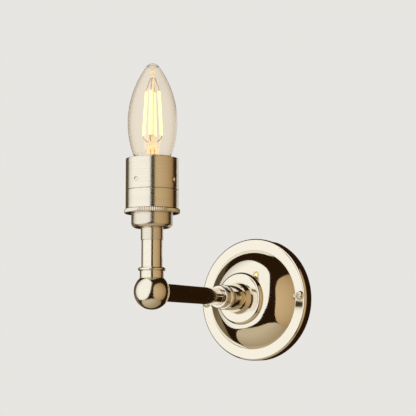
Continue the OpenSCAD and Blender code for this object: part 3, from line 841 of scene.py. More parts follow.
class SubAssembly(ABC):
    """A group of pieces that is built and dressed together."""

    body: ClassVar[str] = "fixture"

    @abstractmethod
    def build(self) -> None:
        """Makes the pieces and dresses them."""

    def add(self, name: str, shell: Shell, finish: Finish, *nodes: str) -> bpy.types.Object:
        """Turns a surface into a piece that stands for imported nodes.

        Args:
            name: Name of the piece.
            shell: Its surface.
            finish: Its finish.
            *nodes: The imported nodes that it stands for.

        Returns:
            The new object.
        """
        faces = shell.quads.tolist() + shell.tris.tolist()
        piece = meshed(name, shell.points, faces, finish.material())
        piece.data.polygons.foreach_set("use_smooth", np.ones(len(faces), bool))
        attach(piece, self.body)
        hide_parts(*nodes)
        log.info("piece %s: %d faces for %s", name, len(faces), ", ".join(nodes))
        return piece

    @staticmethod
    def dress(finish: Finish, *nodes: str) -> None:
        """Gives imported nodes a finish.

        Args:
            finish: The finish.
            *nodes: Names of the nodes.
        """
        for node in nodes:
            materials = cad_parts[node].data.materials
            materials.clear()
            materials.append(finish.material())
            log.info("node %s dressed in %s", node, finish.name)


@dataclass
class WallRose(SubAssembly):
    """Spun cover with its two screws and the strap behind it."""

    rim_depth: float = 9.5
    rim_edge: float = 2.2
    rim_seam: float = 0.45
    rim_inside: float = 1.0
    dome_r: float = 38.5
    dome_rise: float = 16.9
    dome_bow: float = 34.0
    step_r: float = 20.0
    step_edge: float = 3.0
    step_seam: float = 0.25
    step_inside: float = 1.6
    sheet: float = 1.2
    inside_start: float = 4.0
    hole_r: float = 5.2
    screw_circle_r: float = 42.55
    screw_turn: float = 2.6
    screw_r: float = 2.0
    screw_pitch: float = 0.7
    head_r: float = 3.55
    head_h: float = 2.2
    head_wall: float = 0.25
    crown_end: float = 6.0
    tip_cut: float = 0.5
    screw_groove: float = 0.4
    screw_plain: float = 0.1
    slot_floor: float = 0.4
    slot_half: float = 0.55
    slot_reach: float = 1.9
    slot_depth: float = 1.25

    def build(self) -> None:
        """Makes the cover and the screws, and dresses the strap."""
        self.add("rose_cover", self.cover(), POLISHED, "wall_rose")
        self.add("rose_screw_pair", self.screws(), POLISHED, "rose_screws")
        self.dress(ZINC, "mounting_strap")

    def cover(self) -> Shell:
        """Turned sheet: rim, bowed dome and step, with the inside one sheet further in.

        The dome is one arc through the rim's inner edge and the foot of the step.

        Returns:
            The closed surface.
        """
        size, t, bow, rim = Axis.ARM.span("wall_rose"), self.sheet, self.dome_bow, self.rim_depth
        out, top, step = size.radius - HAIR, size.high, rim + self.dome_rise
        run = self.dome_r - self.step_r
        chord = math.hypot(run, self.dome_rise)
        sag = math.sqrt(bow**2 - chord**2 / 4)
        mid_r = (self.dome_r + self.step_r) / 2 - sag * self.dome_rise / chord
        mid_a = (rim + step) / 2 - sag * run / chord
        low = math.degrees(math.acos((self.dome_r - mid_r) / bow))
        high = math.degrees(math.acos((self.step_r - mid_r) / bow))
        low_in = math.degrees(math.asin((rim - t - mid_a) / (bow - t)))
        high_in = math.degrees(math.acos((self.step_r - t - mid_r) / (bow - t)))
        shape = Outline((out - t, self.inside_start), (out - t, 0.0, BROKEN), (out, 0.0, EASED),
                        (out, rim, self.rim_edge), (self.dome_r, rim, self.rim_seam))
        shape.arc(mid_r, mid_a, bow, low, high, 120)
        shape.to((self.step_r, step, self.step_seam), (self.step_r, top, self.step_edge),
                 (self.hole_r, top, BROKEN), (self.hole_r, top - t, BROKEN),
                 (self.step_r - t, top - t, self.step_inside), (self.step_r - t, step, EASED))
        shape.arc(mid_r, mid_a, bow - t, high_in, low_in, 60)
        return turned(shape.to((out - t, rim - t, self.rim_inside)), Axis.ARM, columns=288)

    def screws(self) -> Shell:
        """Pan-head screws: a crown with a cross pressed into it over a threaded shank.

        Returns:
            The two closed surfaces, opposite each other on the rim.
        """
        base, tip = self.rim_depth, Axis.ARM.span("rose_screws").low
        top, edge = base + self.head_h, self.head_r - PLAY
        crown = (self.head_r**2 + self.head_h**2) / (2 * self.head_h)
        side = math.degrees(math.acos(self.head_r / crown))
        shape = Outline((0.0, top))
        shape.arc(0.0, top - crown, crown, 89.0, side + self.crown_end, 44)
        shape.to((edge, base + self.head_wall, BROKEN), (edge, base, CRISP), (self.screw_r, base))
        rows = np.linspace(base - self.screw_plain, tip + self.tip_cut, 120)
        shape.column(self.screw_r, rows).to((self.screw_r - self.tip_cut, tip), (0.0, tip))
        groove = Thread(self.screw_pitch, self.screw_groove, tip, base - self.screw_groove,
                        self.screw_r - self.screw_groove / 2)
        cross = CrossRecess(self.slot_half, self.slot_reach, self.slot_depth,
                            base + self.slot_floor)
        screw = turned(shape, Axis.ARM, groove, 96, False, cross)
        turns = math.radians(self.screw_turn) + math.pi * np.arange(2)
        spots = Axis.ARM.place(self.screw_circle_r, 0.0, turns)
        return Shell.joined([screw.moved(spot) for spot in spots])


@dataclass
class Arm(SubAssembly):
    """Boss, ferrule, tube and ball, with the rod that ties them together."""

    bore_r: float = 5.05
    tube_bore_r: float = 5.2
    boss_edge: float = 1.7
    boss_foot: float = 5.5
    boss_flare: float = 1.8
    boss_end_r: float = 9.1
    bead: float = 2.5
    collar_r: float = 8.1
    lip: float = 2.0
    lip_r: float = 8.6
    lip_overlap: float = 0.1
    seat: float = 6.0
    rod_bore_r: float = 3.5
    rod_cut: float = 0.3
    rod_groove: float = 0.55
    rod_pitch: float = 1.0
    rod_thread: float = 9.0
    ball_r: float = 12.7
    ball_floor: float = 2.0
    nut_chamfer: float = 0.6

    def build(self) -> None:
        """Makes the turned pieces from the rose outwards, then the clamp inside the rose."""
        self.add("boss", self.boss(), TURNED, "rose_boss")
        self.add("ferrule", self.ferrule(), TURNED, "arm_ferrule")
        cover = tube("arm_tube", Axis.ARM, self.tube_bore_r, CRISP)
        self.add("arm_cover", cover, POLISHED, "arm_tube")
        self.add("elbow_ball", self.ball(), SOFT, "ball_elbow")
        self.add("arm_thread_rod", self.rod(), BRASS, "arm_rod")
        self.add("clamp_nut", self.nut(), BRASS, "rod_nut")
        self.dress(ZINC, "rod_washer")
        self.dress(BRASS, "earth_tag", "stem_rod")

    def boss(self) -> Shell:
        """Long cone on a flared foot.

        Returns:
            The closed surface.
        """
        r, low, high = Axis.ARM.span("rose_boss")
        shape = Outline.bored(self.bore_r, low, lead=2.0)
        shape.to((r, low, BROKEN), (r, low + self.boss_edge, MILD),
                 (r - self.boss_flare, low + self.boss_foot, SOFTENED),
                 (self.boss_end_r, high, BLUNT), (self.bore_r, high))
        return turned(shape, Axis.ARM)

    def ferrule(self) -> Shell:
        """Half-round bead, straight collar and half-round lip round the end of the tube.

        Returns:
            The closed surface.
        """
        r, low, high = Axis.ARM.span("arm_ferrule")
        b, c = self.bead / 2, self.lip / 2
        seat_r = Axis.ARM.span("arm_tube").radius + PLAY
        shape = Outline.bored(self.bore_r, low).to((r - b, low))
        shape.arc(r - b, low + b, b, -89.0, 60.0, 28)
        shape.to((self.collar_r, low + self.bead - PLAY, BLUNT),
                 (self.collar_r, high - self.lip + self.lip_overlap, DULL))
        shape.arc(self.lip_r - c, high - c, c, -50.0, 89.0, 28)
        shape.to((seat_r, high, BROKEN), (seat_r, high - self.seat),
                 (self.bore_r, high - self.seat))
        return turned(shape, Axis.ARM)

    def ball(self) -> Shell:
        """Sphere with a flat and a bore at the top, cut by the plane of the arm's flat.

        Returns:
            The closed surface.
        """
        top = Axis.LAMP.span("ball_elbow").high
        side = math.degrees(math.asin(top / self.ball_r))
        shape = Outline((0.0, -self.ball_r)).arc(0.0, 0.0, self.ball_r, -89.2, side, 160)
        shape.to((self.bore_r, top, BROKEN), (self.bore_r, self.ball_floor, EASED),
                 (0.0, self.ball_floor))
        shell = turned(shape, Axis.LAMP, columns=288, loop=False)
        flat = -Axis.ARM.span("ball_elbow").low * MM
        shell.points[:, 1] = np.minimum(shell.points[:, 1], flat)
        return shell

    def rod(self) -> Shell:
        """Hollow rod, threaded over the end that the nut is on.

        Returns:
            The closed surface.
        """
        r, low, high = Axis.ARM.span("arm_rod")
        end = low + self.rod_thread
        shape = Outline.bored(self.rod_bore_r, low, DULL, 5.0).to((r - self.rod_cut, low))
        shape.column(r, np.linspace(low + self.rod_cut, end, 110))
        shape.to((r, high, DULL), (self.rod_bore_r, high))
        groove = Thread(self.rod_pitch, self.rod_groove, low - self.rod_pitch / 2, end,
                        r - 2 * self.rod_cut)
        return turned(shape, Axis.ARM, groove, 96)

    def nut(self) -> Shell:
        """Hexagon nut with its corners cut at both faces.

        Returns:
            The closed surface.
        """
        _, low, high = Axis.ARM.span("rod_nut")
        _, bottom, top = Axis.LAMP.span("rod_nut")
        flat, cut = (top - bottom) / 2, np.linspace(0.0, self.nut_chamfer, 8)
        shape = Outline.bored(self.bore_r, low, EASED)
        shape.column(flat, np.concatenate([low + cut, high - cut[::-1]]))
        return turned(shape.to((self.bore_r, high, EASED)), Axis.ARM, Hexagon(flat, low, high), 240)


@dataclass
class Stem(SubAssembly):
    """Collar with its bead, and the stem tube."""

    bore_r: float = 5.05
    tube_bore_r: float = 5.2
    collar_r: float = 8.45
    bead: float = 2.35

    def build(self) -> None:
        """Makes the collar and the tube."""
        self.add("ball_collar", self.collar(), SOFT, "stem_collar")
        cover = tube("stem_tube", Axis.LAMP, self.tube_bore_r, BROKEN)
        self.add("stem_cover", cover, SOFT, "stem_tube")

    def collar(self) -> Shell:
        """Straight collar with a half-round bead on top.

        Returns:
            The closed surface.
        """
        r, low, high = Axis.LAMP.span("stem_collar")
        b = self.bead / 2
        shape = Outline.bored(self.bore_r, low, lead=2.0)
        shape.to((self.collar_r, low, DULL), (self.collar_r, high - self.bead, DULL))
        shape.arc(r - b, high - b, b, -70.0, 89.0)
        return turned(shape.to((self.bore_r, high)), Axis.LAMP)


@dataclass
class Lampholder(SubAssembly):
    """Cap, knurled ring and two sleeves round the ceramic body."""

    bore_r: float = 5.05
    neck_r: float = 7.9
    neck_l: float = 8.4
    cup_edge: float = 3.6
    cup_flat: float = 0.4
    cup_wall: float = 1.0
    cup_h: float = 10.3
    spigot_r: float = 14.05
    spigot_t: float = 1.2
    cup_floor: float = 1.5
    teeth: int = 96
    tooth_h: float = 0.35
    ring_edge: float = 0.9
    ring_flat: float = 0.6
    sleeve_t: float = 0.9
    seam: float = 0.1
    plug_t: float = 0.75
    plug_h: float = 5.0
    plug_rise: float = 2.0
    ledge: float = 2.0
    dimple_z: float = 6.4
    dimple_r: float = 1.8
    dimple_h: float = 0.9
    dimple_reach: float = 1.15
    dimple_turn: float = -92.0

    def build(self) -> None:
        """Makes the metal outside and dresses the inside."""
        self.add("holder_cap_cup", self.cap(), CUP, "holder_cap")
        self.add("lock_ring", self.ring(), SATIN, "knurled_ring")
        self.add("holder_lower_sleeve", self.lower(), SATIN, "lower_sleeve")
        self.add("holder_skirt", self.upper(), SATIN, "upper_sleeve")
        self.dress(CERAMIC, "holder_insulator")
        self.dress(BRASS, "screw_shell", "spring_contact", "holder_terminals")
        self.dress(ZINC, "terminal_clamp_screws")

    def cap(self) -> Shell:
        """Neck, round-bottomed cup and the spigot that the ring screws on to.

        Returns:
            The closed surface.
        """
        cup, low, high = Axis.LAMP.span("holder_cap")
        edge, floor = self.cup_edge, low + self.neck_l
        rim, inner = floor + self.cup_h, self.spigot_r - self.spigot_t
        well = cup - edge - self.cup_wall
        shape = Outline.bored(self.bore_r, low, BROKEN, 2.0)
        shape.to((self.neck_r, low, EASED), (self.neck_r, floor, SOFTENED),
                 (cup - edge - self.cup_flat, floor))
        shape.arc(cup - edge, floor + edge, edge, -89.0, -1.0, 40)
        shape.to((cup, rim, DULL), (self.spigot_r, rim), (self.spigot_r, high), (inner, high),
                 (inner, floor + edge, EASED), (well, floor + edge, EASED),
                 (well, floor + self.cup_floor), (self.bore_r, floor + self.cup_floor))
        return turned(shape, Axis.LAMP)

    def ring(self) -> Shell:
        """Round-edged ring with a row of teeth.

        Returns:
            The closed surface.
        """
        size, e, bore = Axis.LAMP.span("knurled_ring"), self.ring_edge, self.spigot_r + PLAY
        r, low, high = size.radius - HAIR, size.low, size.high
        flat = r - e - self.ring_flat
        shape = Outline((bore, (low + high) / 2), (bore, low, BROKEN), (flat, low))
        shape.arc(r - e, low + e, e, -90.0, 0.0, 18).arc(r - e, high - e, e, 0.0, 90.0, 18)
        shape.to((flat, high), (bore, high, BROKEN))
        return turned(shape, Axis.LAMP, Knurl(self.teeth, self.tooth_h, r, e), self.teeth * 6)

    def lower(self) -> Shell:
        """Plain sleeve with the ledge that carries the ceramic.

        Returns:
            The closed surface.
        """
        r, low, high = Axis.LAMP.span("lower_sleeve")
        bore, inner, top = self.spigot_r + PLAY, r - self.sleeve_t, high - self.seam
        shape = Outline.bored(bore, low).to(
            (r, low, DULL), (r, top, EASED), (inner, top), (inner, low + self.ledge, EASED),
            (bore, low + self.ledge))
        return turned(shape, Axis.LAMP, columns=256)

    def upper(self) -> Shell:
        """Skirt with a plug at the bottom and four dimples pressed into its wall.

        Returns:
            The closed surface.
        """
        r, low, high = Axis.LAMP.span("upper_sleeve")
        inner, seam = r - self.sleeve_t, low + self.plug_h
        plug, centre = inner - PLAY, seam + self.dimple_z
        bore, reach = plug - self.plug_t, self.dimple_reach * self.dimple_r
        rows, top = np.linspace(centre - reach, centre + reach, 26), seam + self.plug_rise
        shape = Outline((bore, seam - self.plug_rise), (bore, low), (plug, low, BROKEN),
                        (plug, seam + self.seam, PLAY), (r, seam + self.seam, EASED))
        shape.column(r, rows).to((r, high, EASED), (inner, high, DULL))
        shape.column(inner, rows[::-1]).to((inner, top), (bore, top))
        dimples = Dimples(r, inner, centre, self.dimple_r, self.dimple_h, self.dimple_turn)
        return turned(shape, Axis.LAMP, dimples, 640)


@dataclass
class CandleLamp(SubAssembly):
    """Candle-shaped lamp with a screw cap, a glass mount and four lit filaments."""

    body: ClassVar[str] = "lamp"

    neck_r: float = 12.5
    glass_t: float = 0.9
    tip_r: float = 5.4
    wide_share: float = 0.365
    shoulder: float = 1.8
    shoulder_round: float = 0.7
    neck_rise: float = 0.2
    neck_round: float = 0.5
    cap_r: float = 13.2
    cap_t: float = 0.4
    thread_pitch: float = 25.4 / 7
    thread_depth: float = 1.0
    thread_low: float = 2.6
    thread_high: float = 15.6
    rod_r: float = 1.1
    bead_r: float = 2.0
    flare_t: float = 1.15
    pinch_rise: float = 11.19
    filaments: int = 4
    filament_r: float = 1.0
    filament_share: float = 0.474
    filament_rise: float = 0.225
    low_r: float = 6.6
    high_r: float = 4.6
    filament_turn: float = 20.0
    stick_end: float = 0.3
    wire_r: float = 0.3
    wire_gap: float = 0.02
    upper_run: float = 2.0
    upper_bend: float = 1.0
    lower_run: float = 1.6
    lower_bend: float = 0.9
    foot_r: float = 3.8

    def build(self) -> None:
        """Makes glass, cap, mount and filaments, and dresses the hidden pieces."""
        self.add("candle_glass", self.glass(), CLEAR, "bulb_glass")
        self.add("screw_cap", self.cap(), LAMP_CAP, "bulb_cap")
        self.add("filament_mount", self.mount(), STEM_GLASS, "glass_mount")
        self.add("filament_sticks", self.sticks(), FILAMENT, "led_filaments")
        self.add("filament_wires", self.wires(), SUPPORT, "filament_supports")
        self.dress(CONE, "cap_insulator")
        self.dress(SOLDER, "cap_contact")
        self.dress(BOARD, "driver_board")
        self.dress(COPPER, "lead_wires")

    @property
    def rim(self) -> float:
        """Height of the cap's rim, from which the glass rises."""
        return Axis.LAMP.span("bulb_cap").high

    def wall(self, inset: float, shoulder: float, foot: float) -> Array:
        """Wall of the glass from the tip down: the tip's ball, one long arc and the neck.

        Args:
            inset: Distance in from the outer wall.
            shoulder: Rounding where the arc ends over the neck.
            foot: Rounding at the open end of the neck.

        Returns:
            Rows of an outline.
        """
        r, low, high = Axis.LAMP.span("bulb_glass")
        wide = self.rim + self.wide_share * (high - self.rim)
        run, drop = high - self.tip_r - wide, r - self.tip_r
        beyond = (run**2 - drop**2) / (2 * drop)
        bow, neck = beyond + r, self.neck_r - inset
        join = math.degrees(math.asin(run / (bow - self.tip_r)))
        end = math.degrees(math.asin((self.rim + self.shoulder - wide) / bow))
        shape = Outline().arc(0.0, high - self.tip_r, self.tip_r - inset, 89.5, join, 24)
        shape.arc(-beyond, wide, bow - inset, join, end, 90, shoulder)
        return shape.to((neck, self.rim + self.neck_rise, self.neck_round), (neck, low, foot)).rows

    def glass(self) -> Shell:
        """Two walls joined round the open end of the neck, each closed at the tip.

        Returns:
            The closed surface.
        """
        top = Axis.LAMP.span("bulb_glass").high
        shape = Outline((0.0, top)).add(self.wall(0.0, self.shoulder_round, 0.0))
        shape.add(self.wall(self.glass_t, 0.0, DULL)[::-1]).to((0.0, top - self.glass_t))
        return turned(shape, Axis.LAMP, columns=256, loop=False)

    def cap(self) -> Shell:
        """Rolled metal cap: a coarse round thread below, a plain skirt and a rolled rim above.

        Returns:
            The closed surface.
        """
        base = Axis.LAMP.span("bulb_cap").low
        low, high = base + self.thread_low, base + self.thread_high
        r, t, inner = self.cap_r, self.cap_t, self.cap_r - self.cap_t
        shape = Outline.bored(inner, base).to((r, base, EASED))
        shape.column(r, np.linspace(low, high, 110)).to((r, self.rim - 2 * t, DULL))
        shape.arc(r - t / 2, self.rim - t, t, -60.0, 150.0, 24)
        shape.column(inner, np.linspace(high, low, 60))
        groove = Thread(self.thread_pitch, self.thread_depth, low, high)
        return turned(shape, Axis.LAMP, groove, 160)

    def mount(self) -> Shell:
        """Flare on the neck, drawn in to a stem with a pinch, a rod and a bead on top.

        Returns:
            The closed surface.
        """
        flare, base, top = Axis.LAMP.span("glass_mount")
        pinch, bead, bore = self.rim + self.pinch_rise, top - self.bead_r, flare - self.flare_t
        shape = Outline((0.0, top)).arc(0.0, bead, self.bead_r, 88.0, -55.0, 24, EASED)
        shape.to((self.rod_r, bead - 2.2, 0.5), (self.rod_r, pinch + 5.0, 0.8),
                 (2.4, pinch + 3.0, 0.9), (3.4, pinch, 1.0), (3.9, pinch - 2.0, 0.8),
                 (4.2, base + 12.0, 1.0), (5.0, base + 7.5, 1.2), (7.0, base + 4.0, 1.0),
                 (flare, base + 1.0, SOFTENED), (flare, base, DULL), (bore, base),
                 (bore, base + 0.6, EASED), (5.8, base + 4.0, 1.0), (3.8, base + 7.5, 1.2),
                 (3.0, base + 12.0, 1.0), (2.6, pinch - 4.0, 0.5), (0.0, pinch - 3.0))
        return turned(shape, Axis.LAMP, columns=96, loop=False)

    def spots(self, r: float, h: float) -> Array:
        """Points at a radius and a height, one in the plane of each filament."""
        step = np.arange(self.filaments) * FULL_TURN / self.filaments
        return Axis.LAMP.place(r, h, math.radians(self.filament_turn) + step) / MM

    def ends(self) -> tuple[Array, Array]:
        """Finds the ends of the filament sticks.

        Returns:
            The low ends and the high ends, with a row for each stick.
        """
        height = Axis.LAMP.span("bulb_glass").high - self.rim
        low = self.rim + self.filament_rise * height
        high = low + self.filament_share * height
        return self.spots(self.low_r, low), self.spots(self.high_r, high)

    def sticks(self) -> Shell:
        """Round sticks with domed ends: the radius is a half circle of the distance to an end.

        Returns:
            The closed surfaces.
        """
        u = np.linspace(0.0, 1.0, 60)
        shells = []
        for low, high in zip(*self.ends()):
            inset = np.minimum(u, 1 - u) * np.linalg.norm(high - low) / self.filament_r
            dome = np.sqrt(1 - (1 - np.clip(inset, 0.0, 1.0)) ** 2)
            path = low + u[:, None] * (high - low)
            shells.append(swept(path, self.filament_r * np.maximum(dome, self.stick_end), 20))
        return Shell.joined(shells)

    def wires(self) -> Shell:
        """Support wires: straight off each end of a stick, then in to the glass.

        Returns:
            The closed surfaces.
        """
        crown = Axis.LAMP.span("filament_supports").high - self.wire_r
        tops = self.spots(self.rod_r + self.wire_r + self.wire_gap, crown)
        feet = self.spots(self.foot_r, self.rim + self.pinch_rise - self.wire_r)
        shells = []
        for low, high, top, foot in zip(*self.ends(), tops, feet):
            along = (high - low) / np.linalg.norm(high - low)
            upper = rounded_path([high, high + self.upper_run * along, top], [self.upper_bend])
            lower = rounded_path([foot, low - self.lower_run * along, low], [self.lower_bend])
            shells += [swept(path, self.wire_r, 12) for path in (upper, lower)]
        return Shell.joined(shells)


@dataclass
class Wiring(SubAssembly):
    """Connector in the rose and the wires to the lampholder."""

    wire_r: float = 1.1
    way_pitch: float = 10.0
    way_a: float = 7.0
    wire_x: float = 1.45
    post_x: float = 9.0
    way_end_z: float = -9.0
    fan_z: float = 47.49
    fan_rise: float = 3.3
    fan_bend: float = 3.0
    post_bend: float = 2.2
    post_z: float = 57.79
    bend: float = 5.0

    def build(self) -> None:
        """Makes the wires as smooth round tubes and dresses the connector."""
        self.add("brown_wire", swept(self.route(-1), self.wire_r), BROWN, "live_wire")
        self.add("blue_wire", swept(self.route(1), self.wire_r), BLUE, "neutral_wire")
        earth = swept(self.earth_route(), self.wire_r, 32)
        piece = self.add("earth_lead", earth, EARTH, "earth_wire")
        side = piece.data.attributes.new("side", "FLOAT", "POINT")
        side.data.foreach_set("value", earth.points[:, 0] / (self.wire_r * MM))
        self.dress(PLASTIC, "terminal_block")
        self.dress(BRASS, "block_sleeves")
        self.dress(ZINC, "block_screws", "block_fixing_screw")

    def route(self, side: int) -> Array:
        """Centre line of a supply wire: connector, arm, ball, stem and terminal post.

        Args:
            side: Side of the arm that the wire runs on, 1 or -1.

        Returns:
            Points of the line.
        """
        way, wire, post = (side * x for x in (self.way_pitch, self.wire_x, self.post_x))
        start = Axis.LAMP.span("live_wire").low
        corners = [(way, -self.way_a, start), (way, -self.way_a, self.way_end_z),
                   (wire, -self.way_a - self.bend, 0.0), (wire, -LAMP_A, 0.0),
                   (wire, -LAMP_A, self.fan_z), (post, -LAMP_A, self.fan_z + self.fan_rise),
                   (post, -LAMP_A, self.post_z)]
        return rounded_path(corners, [*[self.bend] * 3, self.fan_bend, self.post_bend])

    def earth_route(self) -> Array:
        """Centre line of the earth wire: connector to the tail of the tag.

        Returns:
            Points of the line.
        """
        _, start, top = Axis.LAMP.span("earth_wire")
        end, lift = Axis.ARM.span("earth_wire").high, top - self.wire_r
        corners = [(0.0, -self.way_a, start), (0.0, -self.way_a, lift), (0.0, -end, lift)]
        return rounded_path(corners, [self.bend])


@dataclass(frozen=True)
class Fade:
    """Share of a card's far colour: powers of u and v from -1 to 1, and a fold in v."""

    start: float = 0.0
    u: float = 0.0
    v: float = 0.0
    uu: float = 0.0
    vv: float = 0.0
    fold: float = 0.0
    crease: float = 0.0

    def __call__(self, u: Array, v: Array) -> Array:
        """Sum of the terms, held between nought and one."""
        powers = self.start + self.u * u + self.v * v + self.uu * u**2 + self.vv * v**2
        return np.clip(powers + self.fold * abs(v - self.crease), 0.0, 1.0)


@dataclass(frozen=True)
class Card:
    """A flat reflector card that shades from a near colour to a far one.

    Its direction from the part is an azimuth and an elevation, its left, right, bottom and
    top edges are shares of its distance, and the lean moves the right edge outwards with
    height.
    """

    name: str
    facing: tuple[float, float]
    edges: tuple[float, float, float, float]
    near: Colour
    far: Colour
    fade: Fade
    lean: float = 0.0


CARDS = (
    Card("soft_box", (-25.0, 0.0), (-1.85, 1.28, -1.0, 3.4), (1.08, 1.07, 1.03),
         (0.22, 0.16, 0.10), Fade(-0.1, u=-0.6), 0.2),
    Card("right_card", (95.0, 0.0), (-1.19, 0.9, -1.28, 1.0), (0.66, 0.50, 0.285),
         (0.30, 0.16, 0.053), Fade(0.25, u=0.5, uu=0.25, vv=0.3)),
    Card("left_card", (-122.0, 0.0), (-0.2, 0.72, -0.62, 0.6), (0.25, 0.185, 0.105),
         (0.10, 0.07, 0.038), Fade(fold=1.3, crease=-0.6)),
    Card("under_card", (0.0, -89.9), (-1.0, 0.8, -0.8, 0.8), (0.60, 0.51, 0.36),
         (0.36, 0.28, 0.165), Fade(0.45, u=0.25, v=-0.9)),
    Card("rear_card", (190.0, 0.0), (-0.45, 0.45, -0.22, 0.3), (0.80, 0.77, 0.72),
         (0.45, 0.42, 0.38), Fade(0.5, v=-0.5)),
)


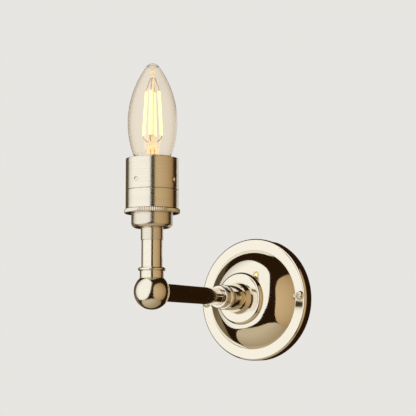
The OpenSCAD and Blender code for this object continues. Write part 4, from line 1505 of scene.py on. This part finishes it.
@dataclass
class Studio:
    """Pale floor and background, soft lamps, reflector cards and the camera, in metres.

    The cards show only in reflections, so that the mirror finish has edges to reflect. Each
    lamp has its azimuth, its elevation and its power in watts.
    """

    LAMPS: ClassVar[dict[str, tuple[float, float, float]]] = {
        "key": (-35.0, 40.0, 20.0), "fill": (100.0, 25.0, 10.0), "back": (190.0, 35.0, 10.0)}

    azimuth: float = 33.373
    elevation: float = -6.476
    distance: float = 1.0
    shift_right: float = 0.039405
    shift_up: float = 0.058618
    lens: float = 123.4
    sensor: float = 36.0
    clip: tuple[float, float] = (0.01, 50.0)
    floor_z: float = -0.9
    floor_r: float = 6.0
    floor_sides: int = 64
    fade_start: float = 0.8
    fade_run: float = 3.0
    lamp_r: float = 1.6
    lamp_size: float = 1.2
    card_r: float = 1.5
    card_corner: float = 0.3
    card_steps: int = 25
    room_r: float = 8.0
    middle: tuple[float, float, float] = (0.0, -0.1, 0.03)
    pale: Colour = (0.80, 0.785, 0.755)
    dark: Colour = (0.024, 0.0105, 0.0035)
    darker: Colour = (0.020, 0.0085, 0.003)
    fill: float = 0.62

    def build(self) -> None:
        """Sets the stage."""
        bpy.context.scene.view_settings.view_transform = "Standard"
        for step in (self.world, self.floor, self.lamps, self.room, self.cards, self.camera):
            step()

    def world(self) -> None:
        """Pale to every ray that shows it, and weaker as a light on matt surfaces."""
        world = bpy.context.scene.world = bpy.data.worlds.new("studio")
        shader = Shader(world)
        seen: Sock | float = 0.0
        for ray in ("Is Camera Ray", "Is Glossy Ray", "Is Transmission Ray"):
            seen = shader.math("MAXIMUM", seen, shader.node("ShaderNodeLightPath", output=ray))
        strength = seen * (1 - self.fill) + self.fill
        sky = shader.node("ShaderNodeBackground", inputs={"Color": self.pale, "Strength": strength})
        shader.show(sky, "ShaderNodeOutputWorld")

    def floor(self) -> None:
        """Flat disc that fades into the background with distance."""
        t = np.arange(self.floor_sides) * FULL_TURN / self.floor_sides
        rim = np.column_stack([self.floor_r * np.cos(t), self.floor_r * np.sin(t),
                               0 * t + self.floor_z])
        matt = bpy.data.materials.new("pale_floor")
        shader = Shader(matt)
        paint = shader.node("ShaderNodeBsdfDiffuse", inputs={"Color": self.pale})
        clear = shader.node("ShaderNodeBsdfTransparent")
        far = shader.node("ShaderNodeVectorMath", {"operation": "LENGTH"},
                          {0: shader.place((1.0, 1.0, 0.0))}, "Value")
        fade = ((far - self.fade_start) / self.fade_run).clipped()
        shader.show(shader.node("ShaderNodeMixShader", inputs={0: fade, 1: paint, 2: clear}))
        floor = meshed("floor", rim, [list(range(self.floor_sides))], matt)
        floor.visible_glossy = False

    def lamps(self) -> None:
        """Hangs large square lamps that are themselves unseen."""
        for name, (azimuth, elevation, power) in self.LAMPS.items():
            data = bpy.data.lights.new(name, "AREA")
            data.size, data.energy = self.lamp_size, power
            lamp = placed(name, data)
            back = self.direction(azimuth, elevation)
            lamp.matrix_world = self.facing(back * self.lamp_r, back)
            lamp.visible_camera = lamp.visible_glossy = lamp.visible_transmission = False

    def room(self) -> None:
        """Dark ball round everything, by azimuth and elevation."""
        a = np.radians(np.linspace(0.0, 360.0, 49))[:, None]
        e = np.radians(np.linspace(-90.0, 90.0, 25))[None, :]
        ball = np.stack([np.sin(a) * np.cos(e), np.cos(a) * np.cos(e), np.sin(e) + 0 * a], -1)
        shade = 0.5 + 0.5 * np.sin(3 * a) * np.cos(e)
        self.reflected("dark_room", ball * self.room_r, shade, self.dark, self.darker)

    def cards(self) -> None:
        """Makes the flat cards: a square grid drawn in at its corners, then stretched."""
        u = np.linspace(-1.0, 1.0, self.card_steps)[:, None]
        pull = 1 / (1 + abs(u * u.T) ** 4 * self.card_corner)
        u, v = u * pull, u.T * pull
        for card in CARDS:
            left, right, low, high = card.edges
            y = low + (high - low) * (v + 1) / 2
            x = left + (right + card.lean * y - left) * (u + 1) / 2
            place = np.array(self.facing(np.zeros(3), self.direction(*card.facing)))[:3, :3]
            flat = np.stack([x, y, np.ones_like(x)], axis=-1) * self.card_r
            self.reflected(card.name, flat @ place.T, card.fade(u, v), card.near, card.far)

    def reflected(self, name: str, grid: Array, shade: Array, near: Colour,
                  far: Colour) -> None:
        """Makes a glowing sheet that only reflections show.

        Args:
            name: Name of the sheet.
            grid: Grid of its points.
            shade: Share of the far colour at each point.
            near: Its bright colour.
            far: Its dim colour.
        """
        k = np.arange(shade.size).reshape(shade.shape)
        faces = np.stack([k[:-1, :-1], k[1:, :-1], k[1:, 1:], k[:-1, 1:]], axis=-1).reshape(-1, 4)
        plain = bpy.data.materials.new(name)
        shader = Shader(plain)
        tone = shader.mix(near, far, shader.fac("shade"))
        shader.show(shader.node("ShaderNodeEmission", inputs={"Color": tone}))
        sheet = meshed(name, (grid + self.middle).reshape(-1, 3), faces.tolist(), plain)
        held = sheet.data.attributes.new("shade", "FLOAT", "POINT")
        held.data.foreach_set("value", shade.ravel())
        sheet.visible_camera = sheet.visible_diffuse = sheet.visible_transmission = False
        sheet.visible_shadow = False

    @staticmethod
    def direction(azimuth: float, elevation: float) -> Array:
        """Unit vector from the part towards an azimuth and an elevation."""
        a, e = math.radians(azimuth), math.radians(elevation)
        return np.array([math.sin(a) * math.cos(e), -math.cos(a) * math.cos(e), math.sin(e)])

    @staticmethod
    def facing(place: Array, back: Array) -> Matrix:
        """Places a camera, lamp or card that looks against a direction, level with the floor.

        Args:
            place: Where it stands.
            back: Unit vector against which it looks.

        Returns:
            Its matrix in the world.
        """
        right = np.cross([0.0, 0.0, 1.0], back)
        right /= np.linalg.norm(right)
        turn = np.column_stack([right, np.cross(back, right), back, place])
        return Matrix(np.vstack([turn, [0.0, 0.0, 0.0, 1.0]]).tolist())

    def camera(self) -> None:
        """Camera at the photograph's angle, aimed past the ball by the two shifts."""
        data = bpy.data.cameras.new("camera")
        data.lens, data.sensor_width = self.lens, self.sensor
        data.clip_start, data.clip_end = self.clip
        camera = bpy.context.scene.camera = placed("camera", data)
        back = self.direction(self.azimuth, self.elevation)
        ball = Axis.LAMP.place(0.0, 0.0, 0.0)
        right, up = np.array(self.facing(ball, back))[:3, :2].T
        place = ball + back * self.distance + right * self.shift_right + up * self.shift_up
        camera.matrix_world = self.facing(place, back)


def main() -> None:
    """Builds the sub-assemblies and the studio."""
    logging.basicConfig(level=logging.INFO, format="%(name)s: %(message)s")
    for assembly in (WallRose(), Arm(), Stem(), Lampholder(), CandleLamp(), Wiring()):
        log.info("building %s", type(assembly).__name__)
        assembly.build()
    Studio().build()


if __name__ == "__main__":
    main()
